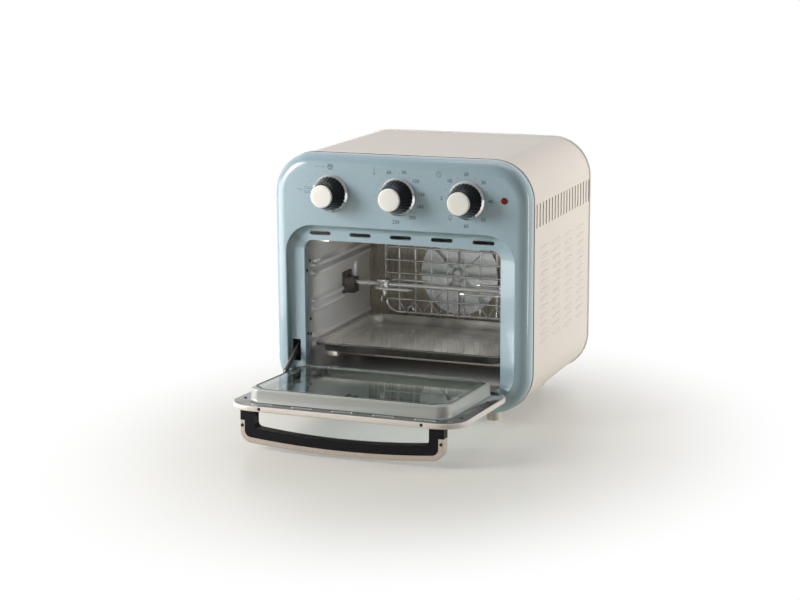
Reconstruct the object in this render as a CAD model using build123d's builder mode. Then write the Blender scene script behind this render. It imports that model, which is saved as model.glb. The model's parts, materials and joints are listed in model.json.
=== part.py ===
from build123d import *

import os
from math import cos, radians, sin, tan

# A countertop convection oven with a bottom-hinged drop-down door, shown open.
# Millimetres, +Z up, front towards -Y. Z = 0 is the surface that the feet stand on.

# Case
frame_width = 320.0
frame_height = 299.0
frame_corner = 48.9
frame_depth = 22.0
frame_edge = 15.0
frame_wall = 2.5
case_depth = 259.0
case_inset = 0.5
sheet = 1.2
foot_height = 15.0

# Door recess, oven opening and the cuts beside it
recess_side = 17.0
recess_width = frame_width - 2 * recess_side
recess_bottom = 17.0
fascia_height = 85.8
recess_top = frame_height - fascia_height
recess_corner = 34.0
recess_depth = 9.6
recess_rim = 1.2
opening_side = 19.1
opening_width = recess_width - 2 * opening_side
opening_sill = 8.0
opening_bottom = recess_bottom + opening_sill
opening_head = 18.7
opening_top = recess_top - opening_head
opening_corner = 12.0
collar_depth = 22.0
vent_drop = 10.3
vent_height = recess_top - vent_drop
vent_length = 27.0
vent_width = 4.6
vent_pitch = 51.4
vent_count = 5
arm_slot_side = 7.0
arm_slot_x = arm_slot_side - recess_width / 2
arm_slot_width = 11.0
arm_slot_sill = 27.0
arm_slot_height = 27.0
arm_slot_bottom = recess_bottom + arm_slot_sill
arm_slot_top = arm_slot_bottom + arm_slot_height

# Cooking cavity
collar_step = 1.1
cavity_width = opening_width + 2 * collar_step
floor_drop = 3.0
cavity_floor = opening_bottom - floor_drop
roof_rise = 3.5
cavity_roof = opening_top + roof_rise
rear_space = 37.0
cavity_rear = case_depth - rear_space
rib_height = 6.0
rib_depth = 6.5
rib_front_gap = 10.0
rib_start = collar_depth + rib_front_gap
rib_rear_gap = 10.0
rib_end = cavity_rear - rib_rear_gap
rib_groove = 4.2
tray_rise = 40.5
tray_level = cavity_floor + tray_rise
rib_head_space = 46.5
rib_pitch = (cavity_roof - tray_level - rib_head_space) / 2
short_rib_gap = 20.0
pad_width = 44.0
pad_height = 28.0
pad_depth = 3.0
pad_rear_gap = 32.0
pad_y = cavity_rear - pad_rear_gap
pad_drop = 2.25
pad_z = tray_level + 1.5 * rib_pitch - pad_drop
pad_corner = 7.0

# Door, measured along it from the hinge axis (reach) and square to it (lift)
hinge_y = 4.0
hinge_rise = 7.8
hinge_z = recess_bottom + hinge_rise
door_tilt = 2.7
door_side_gap = 2.0
door_width = recess_width - 2 * door_side_gap
door_corner = 32.0
hinge_corner = 36.0
door_tail = 4.0
door_top_gap = 1.7
door_reach = recess_top - door_top_gap - hinge_z
door_face = 4.0
door_thickness = 7.0
door_lip = 1.5
door_edge_round = 3.5
door_rim_round = 1.6
flange_thickness = 1.4
flange_low = 1.0
window_border = 33.0
window_width = door_width - 2 * window_border
window_low = 20.0
window_far_border = 28.7
window_high = door_reach - window_far_border
window_corner = 12.0
glass_rebate = 4.0
glass_ledge = 1.5
glass_thickness = 3.0
glass_gap = 0.3
plug_side_gap = 2.5
plug_width = opening_width - 2 * plug_side_gap
plug_low = 9.6
plug_head_gap = 1.1
plug_high = opening_top - hinge_z - plug_head_gap
plug_corner = 15.0
plug_height = 15.2
plug_draft = 4.0
plug_round = 2.5
plug_wall = 1.5
seat_border = 2.2
glass_chamfer = 17.0
plug_window_inset = 9.0
door_slot_length = 24.0
door_slot_width = 3.0
door_slot_pitch = 49.0
door_slot_gap = 9.7
door_slot_reach = door_reach - door_slot_gap
pin_radius = 2.0
pin_hold = 29.0
pin_end = door_width / 2
pin_start = pin_end - pin_hold
pin_boss = 3.8
press_gap = 0.02
running_gap = 0.05

# Handle
handle_side = 19.0
handle_width = door_width - 2 * handle_side
post_width = 17.0
handle_depth = 14.0
handle_setback = 3.5
strip_start = 11.0
grip_corner = 6.0
strip_thickness = 6.0
grip_thickness = 10.5
handle_drop = 35.5
handle_bow = 6.0
handle_corner = 14.0
handle_round = 1.6

# Door arm and its bracket
arm_reach = 30.0
arm_lift = 12.0
arm_length = 62.0
arm_height = 8.0
arm_thickness = 2.0
arm_offset = 1.0
arm_x = arm_slot_x + arm_offset
arm_angle = 31.0
arm_eye = 5.0
arm_pin = 2.0
arm_pin_head = 3.2
arm_pin_head_length = 0.8
arm_gap = 0.3
arm_tab = 1.0
arm_tab_foot = 7.0
arm_tab_width = 12.0
arm_tab_rise = 13.0

# Knobs
knob_side = 75.2
knob_pitch = frame_width / 2 - knob_side
knob_drop = 46.0
knob_height = frame_height - knob_drop
skirt_radius = 22.5
skirt_thickness = 2.0
skirt_gap = 0.6
knob_base = 20.6
knob_nose = 14.4
knob_length = 23.5
cap_radius = 13.8
cap_thickness = 2.8
shaft_radius = 3.0
shaft_hole = 5.0
shaft_grip = 18.0
shaft_depth = 7.0
knob_round = 1.2
bracket_setback = 24.0
bracket_side = 48.0
bracket_half = frame_width / 2 - bracket_side
bracket_below = 28.0
bracket_low = knob_height - bracket_below
bracket_above = 29.5
bracket_high = knob_height + bracket_above
bracket_sheet = 1.5
switch_size = 36.0
switch_depth = 24.0
thermostat_radius = 18.0
thermostat_depth = 20.0
timer_width = 52.0
timer_height = 42.0
timer_depth = 26.0
control_corner = 5.0
lamp_side = 29.0
lamp_x = frame_width / 2 - lamp_side
lamp_rise = 1.6
lamp_z = knob_height + lamp_rise
lamp_radius = 4.0
lamp_flange = 6.0
lamp_flange_length = 2.0
lamp_dome = 1.5
lamp_length = 20.0

# Spit
cavity_middle_y = (collar_depth + cavity_rear) / 2
cavity_middle_z = (cavity_floor + cavity_roof) / 2
spit_offset = 20.0
spit_y = cavity_middle_y + spit_offset
spit_drop = 33.0
spit_z = tray_level + 2 * rib_pitch - spit_drop
short_rib_end = spit_y - short_rib_gap
spit_radius = 3.0
spit_tip = 3.0
drive_radius = 8.0
drive_length = 12.0
drive_gap = 0.8
drive_stem = 3.0
drive_stem_depth = 12.0
drive_bore = 9.0
wall_hole = 5.0
motor_width = 46.0
motor_height = 32.0
motor_depth = 24.0
fork_offset = 74.0
fork_block = 13.0
fork_span = 60.0
prong_radius = 1.8
prong_length = 50.0
prong_tip = 7.0
prong_taper = 12.0
fork_bend = 6.0
screw_length = 9.0
wing_width = 18.0
wing_height = 9.0
wing_thickness = 2.2
bracket_plate = 28.0
spit_bracket_width = 17.0
spit_bracket_drop = 13.0
spit_bracket_rise = 6.0
spit_bracket_reach = 12.0

# Heating elements
heater_radius = 3.25
upper_heater_drop = 11.0
upper_heater_z = cavity_roof - upper_heater_drop
lower_heater_rise = 15.0
lower_heater_z = cavity_floor + lower_heater_rise
upper_heater_front_gap = 53.0
upper_heater_rear_gap = 57.0
upper_heater_ys = (collar_depth + upper_heater_front_gap, cavity_rear - upper_heater_rear_gap)
lower_heater_front_gap = 78.0
lower_heater_rear_gap = 47.0
lower_heater_ys = (collar_depth + lower_heater_front_gap, cavity_rear - lower_heater_rear_gap)
insulator_radius = 6.2
insulator_flange = 9.0
insulator_length = 9.0
insulator_flange_length = 3.0
rod_stub = 1.0
terminal_radius = 1.6
terminal_length = 10.0

# Convection fan and its wire guard
fan_rise = 11.0
fan_z = cavity_middle_z + fan_rise
fan_radius = 52.0
fan_disc = 1.2
fan_gap = 2.0
paddle_depth = 9.0
paddle_count = 8
paddle_thickness = 1.2
paddle_start = 13.0
hub_radius = 8.0
fan_shaft_radius = 2.5
fan_shaft_hole = 6.0
fan_motor_size = 46.0
fan_motor_depth = 20.0
fan_motor_plate = 76.0
fan_motor_sheet = 1.5
bearing_cup_radius = 12.0
bearing_cup_depth = 5.0
guard_side = 30.0
guard_width = cavity_width - 2 * guard_side
guard_end = 37.0
guard_height = cavity_roof - cavity_floor - 2 * guard_end
guard_corner = 18.0
guard_frame_radius = 1.6
guard_wire_radius = 1.25
weld_depth = 0.15
guard_clearance = 4.0
guard_rows = 5
guard_columns = 8
guard_column_pitch = (guard_width - 2 * guard_corner) / (guard_columns - 1)
guard_leg_inset = 27.0
guard_leg_pitch = guard_width - 2 * guard_leg_inset
guard_eye = 5.0
guard_eye_thickness = 1.0

# Baking tray
tray_side_gap = 4.5
tray_width = cavity_width - 2 * tray_side_gap
tray_front_gap = 4.0
tray_front = collar_depth + tray_front_gap
tray_rear_gap = 8.0
tray_length = cavity_rear - tray_rear_gap - tray_front
tray_drop = 10.5
tray_rim = 6.0
tray_sheet = 1.0
tray_corner = 14.0
tray_draft = 10.0
tray_lift = 0.3

# Side vents, rear panel, bottom plate and feet
side_vent_count = 19
side_vent_start = 34.5
side_vent_end = 4.9
side_vent_pitch = (case_depth - side_vent_start - side_vent_end) / (side_vent_count - 1)
side_vent_drop = 66.0
side_vent_z = frame_height - side_vent_drop
side_vent_height = 29.0
side_vent_width = 3.4
louver_rows = 12
louver_columns = 4
louver_row_pitch = 10.2
louver_length = 31.0
louver_width = 2.6
louver_drop = 106.5
louver_top = frame_height - louver_drop
louver_start = 68.0
louver_end = 39.5
louver_column_pitch = (case_depth - louver_start - louver_end) / (louver_columns - 1)
rear_setback = 1.8
rear_vent_rows = 8
rear_vent_pitch = 9.0
rear_vent_length = 120.0
rear_vent_width = 4.0
gland_side = 48.0
gland_x = gland_side - frame_width / 2
gland_z = 46.0
gland_bore = 3.6
gland_body = 7.0
gland_collar = 9.5
gland_collar_depth = 4.0
gland_tail = 7.0
lip_side = 74.0
lip_half = frame_width / 2 - lip_side
plate_overlap = 12.0
plate_end_gap = 4.0
plate_slot_length = 50.0
plate_slot_width = 4.0
plate_slot_spread = 65.0
plate_slot_pitch = 16.0
plate_slot_count = 9
foot_side = 54.0
foot_x = frame_width / 2 - foot_side
foot_front = 40.0
foot_rear_gap = 37.0
foot_rear = case_depth - foot_rear_gap
foot_top = 8.8
foot_bottom = 8.0
foot_hole = 3.0
foot_hole_depth = 7.0

# Screws
screw_head = 3.4
screw_head_height = 1.6
small_head = 1.9
small_head_height = 0.7
rear_screw_side = 20.0
rear_screw_x = frame_width / 2 - rear_screw_side
rear_screw_end = 9.5
rear_screw_z = frame_height / 2 - rear_screw_end
rear_screw_pitch = 110.0
lip_screw_inset = 6.0
lip_screw_x = lip_half + lip_screw_inset
lip_screw_front = 60.0
lip_screw_rear_gap = 59.0
lip_screw_ys = (lip_screw_front, case_depth - lip_screw_rear_gap)
collar_screw_inset = 5.0
collar_screw_y = collar_depth - collar_screw_inset
collar_screw_rise = 52.0
collar_screw_drop = 39.5
collar_screw_zs = (opening_bottom + collar_screw_rise, opening_top - collar_screw_drop)
rivet_inset = 6.0
rivet_y = collar_depth + rivet_inset
rivet_rises = (52.0, 71.0)
rivet_drop = 33.0
rivet_zs = (*(cavity_floor + rise for rise in rivet_rises), cavity_roof - rivet_drop)
flange_screw_inset = 10.0
flange_screw_x = door_width / 2 - flange_screw_inset
flange_screw_low = 60.0
flange_screw_gap = 36.7
flange_screw_reaches = (flange_screw_low, door_reach - flange_screw_gap)
band_screw_inset = 44.0
band_screw_x = door_width / 2 - band_screw_inset
handle_screw_x = (handle_width - strip_thickness) / 2
handle_screw_drop = 6.0

# Places worked out from the sizes above
tilt = radians(door_tilt)
front_reach = door_reach * cos(tilt) - hinge_y
rear_reach = case_depth - rear_setback + gland_collar_depth
front_y = (front_reach - rear_reach) / 2
base_z = foot_height
frame_mid = base_z + frame_height / 2
recess_mid = base_z + (recess_bottom + recess_top) / 2
recess_height = recess_top - recess_bottom
opening_mid = base_z + (opening_bottom + opening_top) / 2
opening_height = opening_top - opening_bottom
recess_floor_y = front_y + recess_depth
collar_y = front_y + collar_depth
rear_panel_y = front_y + case_depth - rear_setback
cavity_y = front_y + cavity_rear
floor_z = base_z + cavity_floor
roof_z = base_z + cavity_roof
half_cavity = cavity_width / 2
hinge_point = (0, front_y + hinge_y, base_z + hinge_z)
door_out = (0, -cos(tilt), sin(tilt))
door_up = (0, sin(tilt), cos(tilt))
door_plane = Plane(origin=hinge_point, x_dir=(1, 0, 0), z_dir=door_up)


def upright(y):
    """Gives the upright plane at y that faces the front: sketch x is X, and sketch y is Z."""
    return Plane(origin=(0, y, 0), x_dir=(1, 0, 0), z_dir=(0, -1, 0))


def sideways(x):
    """Gives the upright plane at x that faces +X: sketch x is Y, and sketch y is Z."""
    return Plane(origin=(x, 0, 0), x_dir=(0, 1, 0), z_dir=(1, 0, 0))


def across_door(reach):
    """Gives the plane square to the open door at a reach: sketch x is X, and sketch y is the lift."""
    origin = tuple(h + reach * d for h, d in zip(hinge_point, door_out))
    return Plane(origin=origin, x_dir=(1, 0, 0), z_dir=door_out)


def keep(piece, label):
    """Names a finished piece and writes it as one STEP file."""
    piece.part.label = label
    export_step(piece.part, f"parts/{label}.step")


os.makedirs("parts", exist_ok=True)

# Front frame: a thin shell with a sunk door recess, an opening with a collar, and its cuts
with BuildPart() as front_frame:
    with BuildSketch(upright(front_y + frame_depth)):
        with Locations((0, frame_mid)):
            RectangleRounded(frame_width, frame_height, frame_corner)
    extrude(amount=frame_depth)
    fillet(front_frame.faces().sort_by(Axis.Y)[0].edges(), radius=frame_edge)
    offset(amount=-frame_wall, openings=front_frame.faces().sort_by(Axis.Y)[-1])
    with BuildSketch(upright(recess_floor_y + frame_wall)):
        with Locations((0, recess_mid)):
            RectangleRounded(
                recess_width + 2 * frame_wall,
                recess_height + 2 * frame_wall,
                recess_corner + frame_wall,
            )
    extrude(amount=recess_depth + frame_wall / 2)
    for side in (-1, 1):
        boss_plane = sideways(side * (pin_end + frame_wall))
        with BuildSketch(boss_plane):
            with Locations((hinge_point[1], hinge_point[2])):
                Circle(pin_boss)
        extrude(amount=-side * (pin_end + frame_wall - pin_start))
    with BuildSketch(upright(recess_floor_y)):
        with Locations((0, recess_mid)):
            RectangleRounded(recess_width, recess_height, recess_corner)
    extrude(amount=recess_depth, mode=Mode.SUBTRACT)
    fillet(front_frame.faces().sort_by(Axis.Y)[0].inner_wires()[0].edges(), radius=recess_rim)
    with BuildSketch(upright(collar_y)):
        with Locations((0, opening_mid)):
            RectangleRounded(
                opening_width + 2 * frame_wall,
                opening_height + 2 * frame_wall,
                opening_corner + frame_wall,
            )
    extrude(amount=collar_depth - recess_depth)
    with BuildSketch(upright(collar_y)):
        with Locations((0, opening_mid)):
            RectangleRounded(opening_width, opening_height, opening_corner)
    extrude(amount=collar_depth, mode=Mode.SUBTRACT)
    with BuildSketch(upright(recess_floor_y + frame_wall)):
        with Locations((0, base_z + vent_height)):
            with GridLocations(vent_pitch, 0, vent_count, 1):
                SlotOverall(vent_length, vent_width)
        with Locations((arm_slot_x, base_z + (arm_slot_bottom + arm_slot_top) / 2)):
            Rectangle(arm_slot_width, arm_slot_top - arm_slot_bottom)
    extrude(amount=frame_wall, mode=Mode.SUBTRACT)
    with BuildSketch(upright(front_y + frame_wall)):
        with Locations((0, base_z + knob_height)):
            with GridLocations(knob_pitch, 0, 3, 1):
                Circle(shaft_hole)
        with Locations((lamp_x, base_z + lamp_z)):
            Circle(lamp_radius + press_gap)
    extrude(amount=frame_wall, mode=Mode.SUBTRACT)
    for side in (-1, 1):
        with BuildSketch(sideways(side * pin_end)):
            with Locations((hinge_point[1], hinge_point[2])):
                Circle(pin_radius + press_gap)
        extrude(amount=-side * (pin_end - pin_start), mode=Mode.SUBTRACT)
keep(front_frame, "front_frame")

# Cabinet shell: one wrapped sheet, open between its bottom lips, with vents in both sides
shell_depth = case_depth - frame_depth
shell_width = frame_width - 2 * case_inset
shell_height = frame_height - 2 * case_inset
shell_corner = frame_corner - case_inset
with BuildPart() as cabinet_shell:
    with BuildSketch(upright(front_y + case_depth)):
        with Locations((0, frame_mid)):
            RectangleRounded(shell_width, shell_height, shell_corner)
            RectangleRounded(
                shell_width - 2 * sheet,
                shell_height - 2 * sheet,
                shell_corner - sheet,
                mode=Mode.SUBTRACT,
            )
        with Locations((0, base_z)):
            Rectangle(2 * lip_half, 4 * sheet, mode=Mode.SUBTRACT)
    extrude(amount=shell_depth)
    vent_middle = front_y + side_vent_start + side_vent_pitch * (side_vent_count - 1) / 2
    louver_middle = front_y + louver_start + louver_column_pitch * (louver_columns - 1) / 2
    louver_centre_z = base_z + louver_top - louver_row_pitch * (louver_rows - 1) / 2
    with BuildSketch(sideways(frame_width / 2)):
        with Locations((vent_middle, base_z + side_vent_z)):
            with GridLocations(side_vent_pitch, 0, side_vent_count, 1):
                SlotOverall(side_vent_height, side_vent_width, rotation=90)
        with Locations((louver_middle, louver_centre_z)):
            with GridLocations(louver_column_pitch, louver_row_pitch, louver_columns, louver_rows):
                SlotOverall(louver_length, louver_width)
    extrude(amount=-frame_width, mode=Mode.SUBTRACT)
keep(cabinet_shell, "cabinet_shell")

# Rear panel: a flat plate set inside the shell's rear edge
with BuildPart() as rear_panel:
    with BuildSketch(upright(rear_panel_y)):
        with Locations((0, frame_mid)):
            RectangleRounded(
                shell_width - 2 * sheet,
                shell_height - 2 * sheet,
                shell_corner - sheet,
            )
        with Locations((0, base_z + fan_z)):
            with GridLocations(0, rear_vent_pitch, 1, rear_vent_rows):
                SlotOverall(rear_vent_length, rear_vent_width, mode=Mode.SUBTRACT)
        with Locations((gland_x, base_z + gland_z)):
            Circle(gland_body + press_gap, mode=Mode.SUBTRACT)
    extrude(amount=sheet)
keep(rear_panel, "rear_panel")

# Inlet bush in the rear panel
gland_point = (gland_x, rear_panel_y, base_z + gland_z)
with BuildPart(Plane(origin=gland_point, x_dir=(1, 0, 0), z_dir=(0, 1, 0))) as cord_gland:
    Cylinder(gland_collar, gland_collar_depth, align=(Align.CENTER, Align.CENTER, Align.MIN))
    fillet(cord_gland.faces().sort_by(Axis.Y)[-1].edges(), radius=gland_collar_depth / 3)
    Cylinder(gland_body, gland_tail, align=(Align.CENTER, Align.CENTER, Align.MAX))
    Hole(gland_bore)
keep(cord_gland, "cord_gland")

# Bottom plate: lies on the shell's two bottom lips
plate_z = base_z + case_inset + sheet
plate_front = front_y + frame_depth + plate_end_gap
plate_back = rear_panel_y - sheet - plate_end_gap
with BuildPart() as bottom_plate:
    with BuildSketch(Plane.XY.offset(plate_z)):
        with Locations((0, (plate_front + plate_back) / 2)):
            Rectangle(2 * (lip_half + plate_overlap), plate_back - plate_front)
            with GridLocations(plate_slot_spread, plate_slot_pitch, 2, plate_slot_count):
                SlotOverall(plate_slot_length, plate_slot_width, mode=Mode.SUBTRACT)
    extrude(amount=sheet)
keep(bottom_plate, "bottom_plate")

# Feet, each with a screw hole from below
FOOT_PLACES = {
    "foot_front_left": (-foot_x, foot_front),
    "foot_front_right": (foot_x, foot_front),
    "foot_rear_left": (-foot_x, foot_rear),
    "foot_rear_right": (foot_x, foot_rear),
}
for label, (x, depth) in FOOT_PLACES.items():
    with BuildPart(Plane(origin=(x, front_y + depth, 0))) as foot:
        Cone(foot_bottom, foot_top, foot_height + case_inset, align=(Align.CENTER, Align.CENTER, Align.MIN))
        with Locations((0, 0, foot_hole_depth / 2)):
            Cylinder(foot_hole, foot_hole_depth, mode=Mode.SUBTRACT)
    keep(foot, label)

# Cavity liner: side walls with tray guides, roof, floor and rear wall
liner_length = cavity_rear - collar_depth
tray_z = base_z + tray_level
rib_levels = [tray_z + level * rib_pitch for level in range(3)]


def liner_wall(side):
    """Builds one side wall; side is -1 on the left and 1 on the right."""
    inner = side * half_cavity
    heaters = [(y, upper_heater_z) for y in upper_heater_ys]
    heaters += [(y, lower_heater_z) for y in lower_heater_ys]
    with BuildPart() as wall:
        with BuildSketch(sideways(inner)):
            with Locations((front_y + cavity_middle_y, base_z + cavity_middle_z)):
                Rectangle(liner_length, roof_z - floor_z)
        extrude(amount=side * sheet)
        with BuildSketch(sideways(inner - side * rib_depth)):
            for number, level in enumerate(rib_levels):
                end = short_rib_end if number == 1 else rib_end
                for rib_z in (level - tray_lift - rib_height / 2, level + rib_groove + rib_height / 2):
                    with Locations((front_y + (rib_start + end) / 2, rib_z)):
                        SlotOverall(end - rib_start, rib_height)
        extrude(amount=side * (rib_depth + sheet / 2))
        with BuildSketch(sideways(inner - side * pad_depth)):
            with Locations((front_y + pad_y, base_z + pad_z)):
                RectangleRounded(pad_width, pad_height, pad_corner)
        extrude(amount=side * (pad_depth + sheet / 2))
        with BuildSketch(sideways(inner + side * sheet)):
            for y, z in heaters:
                with Locations((front_y + y, base_z + z)):
                    Circle(insulator_radius + press_gap)
            if side > 0:
                with Locations((front_y + spit_y, base_z + spit_z)):
                    Circle(wall_hole)
        extrude(amount=-side * sheet, mode=Mode.SUBTRACT)
    return wall


liner_left_wall = liner_wall(-1)
keep(liner_left_wall, "liner_left_wall")
liner_right_wall = liner_wall(1)
keep(liner_right_wall, "liner_right_wall")

liner_middle_y = front_y + cavity_middle_y
with BuildPart() as liner_roof:
    with BuildSketch(Plane.XY.offset(roof_z)):
        with Locations((0, liner_middle_y)):
            Rectangle(cavity_width + 2 * sheet, liner_length)
    extrude(amount=sheet)
keep(liner_roof, "liner_roof")

with BuildPart() as liner_floor:
    with BuildSketch(Plane.XY.offset(floor_z - sheet)):
        with Locations((0, liner_middle_y)):
            Rectangle(cavity_width + 2 * sheet, liner_length)
    extrude(amount=sheet)
keep(liner_floor, "liner_floor")

with BuildPart() as liner_rear_wall:
    with BuildSketch(upright(cavity_y + sheet)):
        with Locations((0, (floor_z + roof_z) / 2)):
            Rectangle(cavity_width + 2 * sheet, roof_z - floor_z + 2 * sheet)
        with Locations((0, base_z + fan_z)):
            Circle(fan_shaft_hole, mode=Mode.SUBTRACT)
    extrude(amount=sheet)
keep(liner_rear_wall, "liner_rear_wall")

# Heating elements: a rod across the cavity, a terminal at each end and two ceramic insulators
HEATERS = {
    "upper_heater_front": (upper_heater_ys[0], upper_heater_z),
    "upper_heater_rear": (upper_heater_ys[1], upper_heater_z),
    "lower_heater_front": (lower_heater_ys[0], lower_heater_z),
    "lower_heater_rear": (lower_heater_ys[1], lower_heater_z),
}
rod_half = half_cavity + sheet + insulator_flange_length + rod_stub
for label, (y, z) in HEATERS.items():
    centre = (front_y + y, base_z + z)
    with BuildPart() as heater:
        with BuildSketch(sideways(-rod_half)):
            with Locations(centre):
                Circle(heater_radius)
        extrude(amount=2 * rod_half)
        with BuildSketch(sideways(-rod_half - terminal_length)):
            with Locations(centre):
                Circle(terminal_radius)
        extrude(amount=2 * (rod_half + terminal_length))
        for side in (-1, 1):
            face = side * (half_cavity + sheet)
            with BuildSketch(sideways(face)):
                with Locations(centre):
                    Circle(insulator_flange)
                    Circle(heater_radius + running_gap, mode=Mode.SUBTRACT)
            extrude(amount=side * insulator_flange_length)
            with BuildSketch(sideways(face)):
                with Locations(centre):
                    Circle(insulator_radius)
                    Circle(heater_radius + running_gap, mode=Mode.SUBTRACT)
            extrude(amount=-side * (insulator_length - insulator_flange_length))
    keep(heater, label)

# Convection fan: a disc with straight paddles and a hub, on a shaft through the rear wall
fan_centre_z = base_z + fan_z
fan_back_y = cavity_y - fan_gap
fan_front_y = fan_back_y - fan_disc - paddle_depth
motor_plate_y = cavity_y + sheet
with BuildPart() as fan_blade:
    with BuildSketch(upright(fan_back_y)):
        with Locations((0, fan_centre_z)):
            Circle(fan_radius)
    extrude(amount=fan_disc)
    with BuildSketch(upright(fan_back_y - fan_disc)):
        with Locations((0, fan_centre_z)):
            Circle(hub_radius)
            with PolarLocations((fan_radius + paddle_start) / 2, paddle_count):
                Rectangle(fan_radius - paddle_start, paddle_thickness)
    extrude(amount=paddle_depth)
    with BuildSketch(upright(fan_back_y)):
        with Locations((0, fan_centre_z)):
            Circle(fan_shaft_radius + press_gap)
    extrude(amount=fan_disc + paddle_depth, mode=Mode.SUBTRACT)
keep(fan_blade, "fan_blade")

fan_shaft_depth = fan_motor_depth / 2
with BuildPart() as fan_shaft:
    with BuildSketch(upright(motor_plate_y + fan_motor_sheet + fan_shaft_depth)):
        with Locations((0, fan_centre_z)):
            Circle(fan_shaft_radius)
    extrude(amount=motor_plate_y + fan_motor_sheet + fan_shaft_depth - fan_front_y)
keep(fan_shaft, "fan_shaft")

with BuildPart() as fan_motor:
    with BuildSketch(upright(motor_plate_y + fan_motor_sheet)):
        with Locations((0, fan_centre_z)):
            RectangleRounded(fan_motor_plate, fan_motor_size, bearing_cup_depth)
    extrude(amount=fan_motor_sheet)
    with BuildSketch(upright(motor_plate_y + fan_motor_sheet + fan_motor_depth)):
        with Locations((0, fan_centre_z)):
            RectangleRounded(fan_motor_size, fan_motor_size, bearing_cup_depth)
    extrude(amount=fan_motor_depth)
    with BuildSketch(upright(motor_plate_y + fan_motor_sheet + fan_motor_depth + bearing_cup_depth)):
        with Locations((0, fan_centre_z)):
            Circle(bearing_cup_radius)
    extrude(amount=bearing_cup_depth)
    with BuildSketch(upright(motor_plate_y + fan_motor_sheet + fan_shaft_depth + fan_gap / 2)):
        with Locations((0, fan_centre_z)):
            Circle(fan_shaft_radius + running_gap)
    extrude(amount=fan_motor_sheet + fan_shaft_depth + fan_gap / 2, mode=Mode.SUBTRACT)
keep(fan_motor, "fan_motor")

# Wire guard in front of the fan: a bent frame wire, rows and columns welded to it, and four legs
weld = guard_wire_radius - weld_depth
guard_y = fan_front_y - guard_clearance - weld - guard_wire_radius
guard_low = fan_centre_z - guard_height / 2
guard_row_pitch = guard_height / (guard_rows + 1)
with BuildPart() as fan_guard:
    with BuildSketch(upright(guard_y), mode=Mode.PRIVATE) as guard_outline:
        with Locations((0, fan_centre_z)):
            RectangleRounded(guard_width, guard_height, guard_corner)
    guard_path = guard_outline.sketch.face().outer_wire()
    with BuildSketch(Plane(origin=guard_path @ 0, z_dir=guard_path % 0)):
        Circle(guard_frame_radius)
    sweep(path=guard_path)
    with BuildSketch(sideways(-guard_width / 2)):
        with Locations((guard_y - weld, fan_centre_z)):
            with GridLocations(0, guard_row_pitch, 1, guard_rows):
                Circle(guard_wire_radius)
    extrude(amount=guard_width)
    with BuildSketch(Plane.XY.offset(guard_low)):
        with Locations((0, guard_y + weld)):
            with GridLocations(guard_column_pitch, 0, guard_columns, 1):
                Circle(guard_wire_radius)
    extrude(amount=guard_height)
    with BuildSketch(upright(cavity_y)):
        with Locations((0, fan_centre_z)):
            with GridLocations(guard_leg_pitch, guard_height, 2, 2):
                Circle(guard_wire_radius)
    extrude(amount=cavity_y - guard_y)
    with BuildSketch(upright(cavity_y)):
        with Locations((0, fan_centre_z)):
            with GridLocations(guard_leg_pitch, guard_height, 2, 2):
                Circle(guard_eye)
    extrude(amount=guard_eye_thickness)
keep(fan_guard, "fan_guard")

# Spit: rod, drive coupling, two forks and their winged screws, all on one axis along X
spit_centre = (front_y + spit_y, base_z + spit_z)
drive_front = half_cavity - drive_gap - drive_length
drive_end = half_cavity + sheet + drive_stem_depth
rod_left = -(half_cavity - spit_tip)
rod_right = drive_front + drive_bore - press_gap
with BuildPart() as spit_rod:
    with BuildSketch(sideways(rod_left)):
        with Locations(spit_centre):
            Circle(spit_radius)
    extrude(amount=rod_right - rod_left)
    chamfer(spit_rod.faces().sort_by(Axis.X)[0].edges(), length=spit_radius / 3)
keep(spit_rod, "spit_rod")

with BuildPart() as spit_drive:
    with BuildSketch(sideways(drive_front)):
        with Locations(spit_centre):
            Circle(drive_radius)
    extrude(amount=drive_length)
    with BuildSketch(sideways(drive_front + drive_length)):
        with Locations(spit_centre):
            Circle(drive_stem)
    extrude(amount=drive_end - drive_front - drive_length)
    with BuildSketch(sideways(drive_front)):
        with Locations(spit_centre):
            Circle(spit_radius + running_gap)
    extrude(amount=drive_bore, mode=Mode.SUBTRACT)
keep(spit_drive, "spit_drive")

with BuildPart() as rotisserie_motor:
    with BuildSketch(sideways(half_cavity + sheet)):
        with Locations(spit_centre):
            RectangleRounded(motor_width, motor_height, drive_stem)
    extrude(amount=motor_depth)
    with BuildSketch(sideways(half_cavity + sheet)):
        with Locations(spit_centre):
            Circle(drive_stem + running_gap)
    extrude(amount=drive_stem_depth + drive_gap, mode=Mode.SUBTRACT)
keep(rotisserie_motor, "rotisserie_motor")

with BuildPart() as spit_bracket:
    with BuildSketch(sideways(-half_cavity)):
        with Locations(spit_centre):
            RectangleRounded(bracket_plate, bracket_plate, drive_stem)
    extrude(amount=bracket_sheet)
    with BuildSketch(sideways(bracket_sheet - half_cavity)):
        with Locations((spit_centre[0], spit_centre[1] + (spit_bracket_rise - spit_bracket_drop) / 2)):
            Rectangle(spit_bracket_width, spit_bracket_rise + spit_bracket_drop)
    extrude(amount=spit_bracket_reach)
    with BuildSketch(sideways(bracket_sheet - half_cavity)):
        with Locations(spit_centre):
            Circle(spit_radius + running_gap)
        with Locations((spit_centre[0], spit_centre[1] + spit_bracket_rise / 2)):
            Rectangle(2 * (spit_radius + running_gap), spit_bracket_rise)
    extrude(amount=spit_bracket_reach, mode=Mode.SUBTRACT)
keep(spit_bracket, "spit_bracket")

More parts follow.
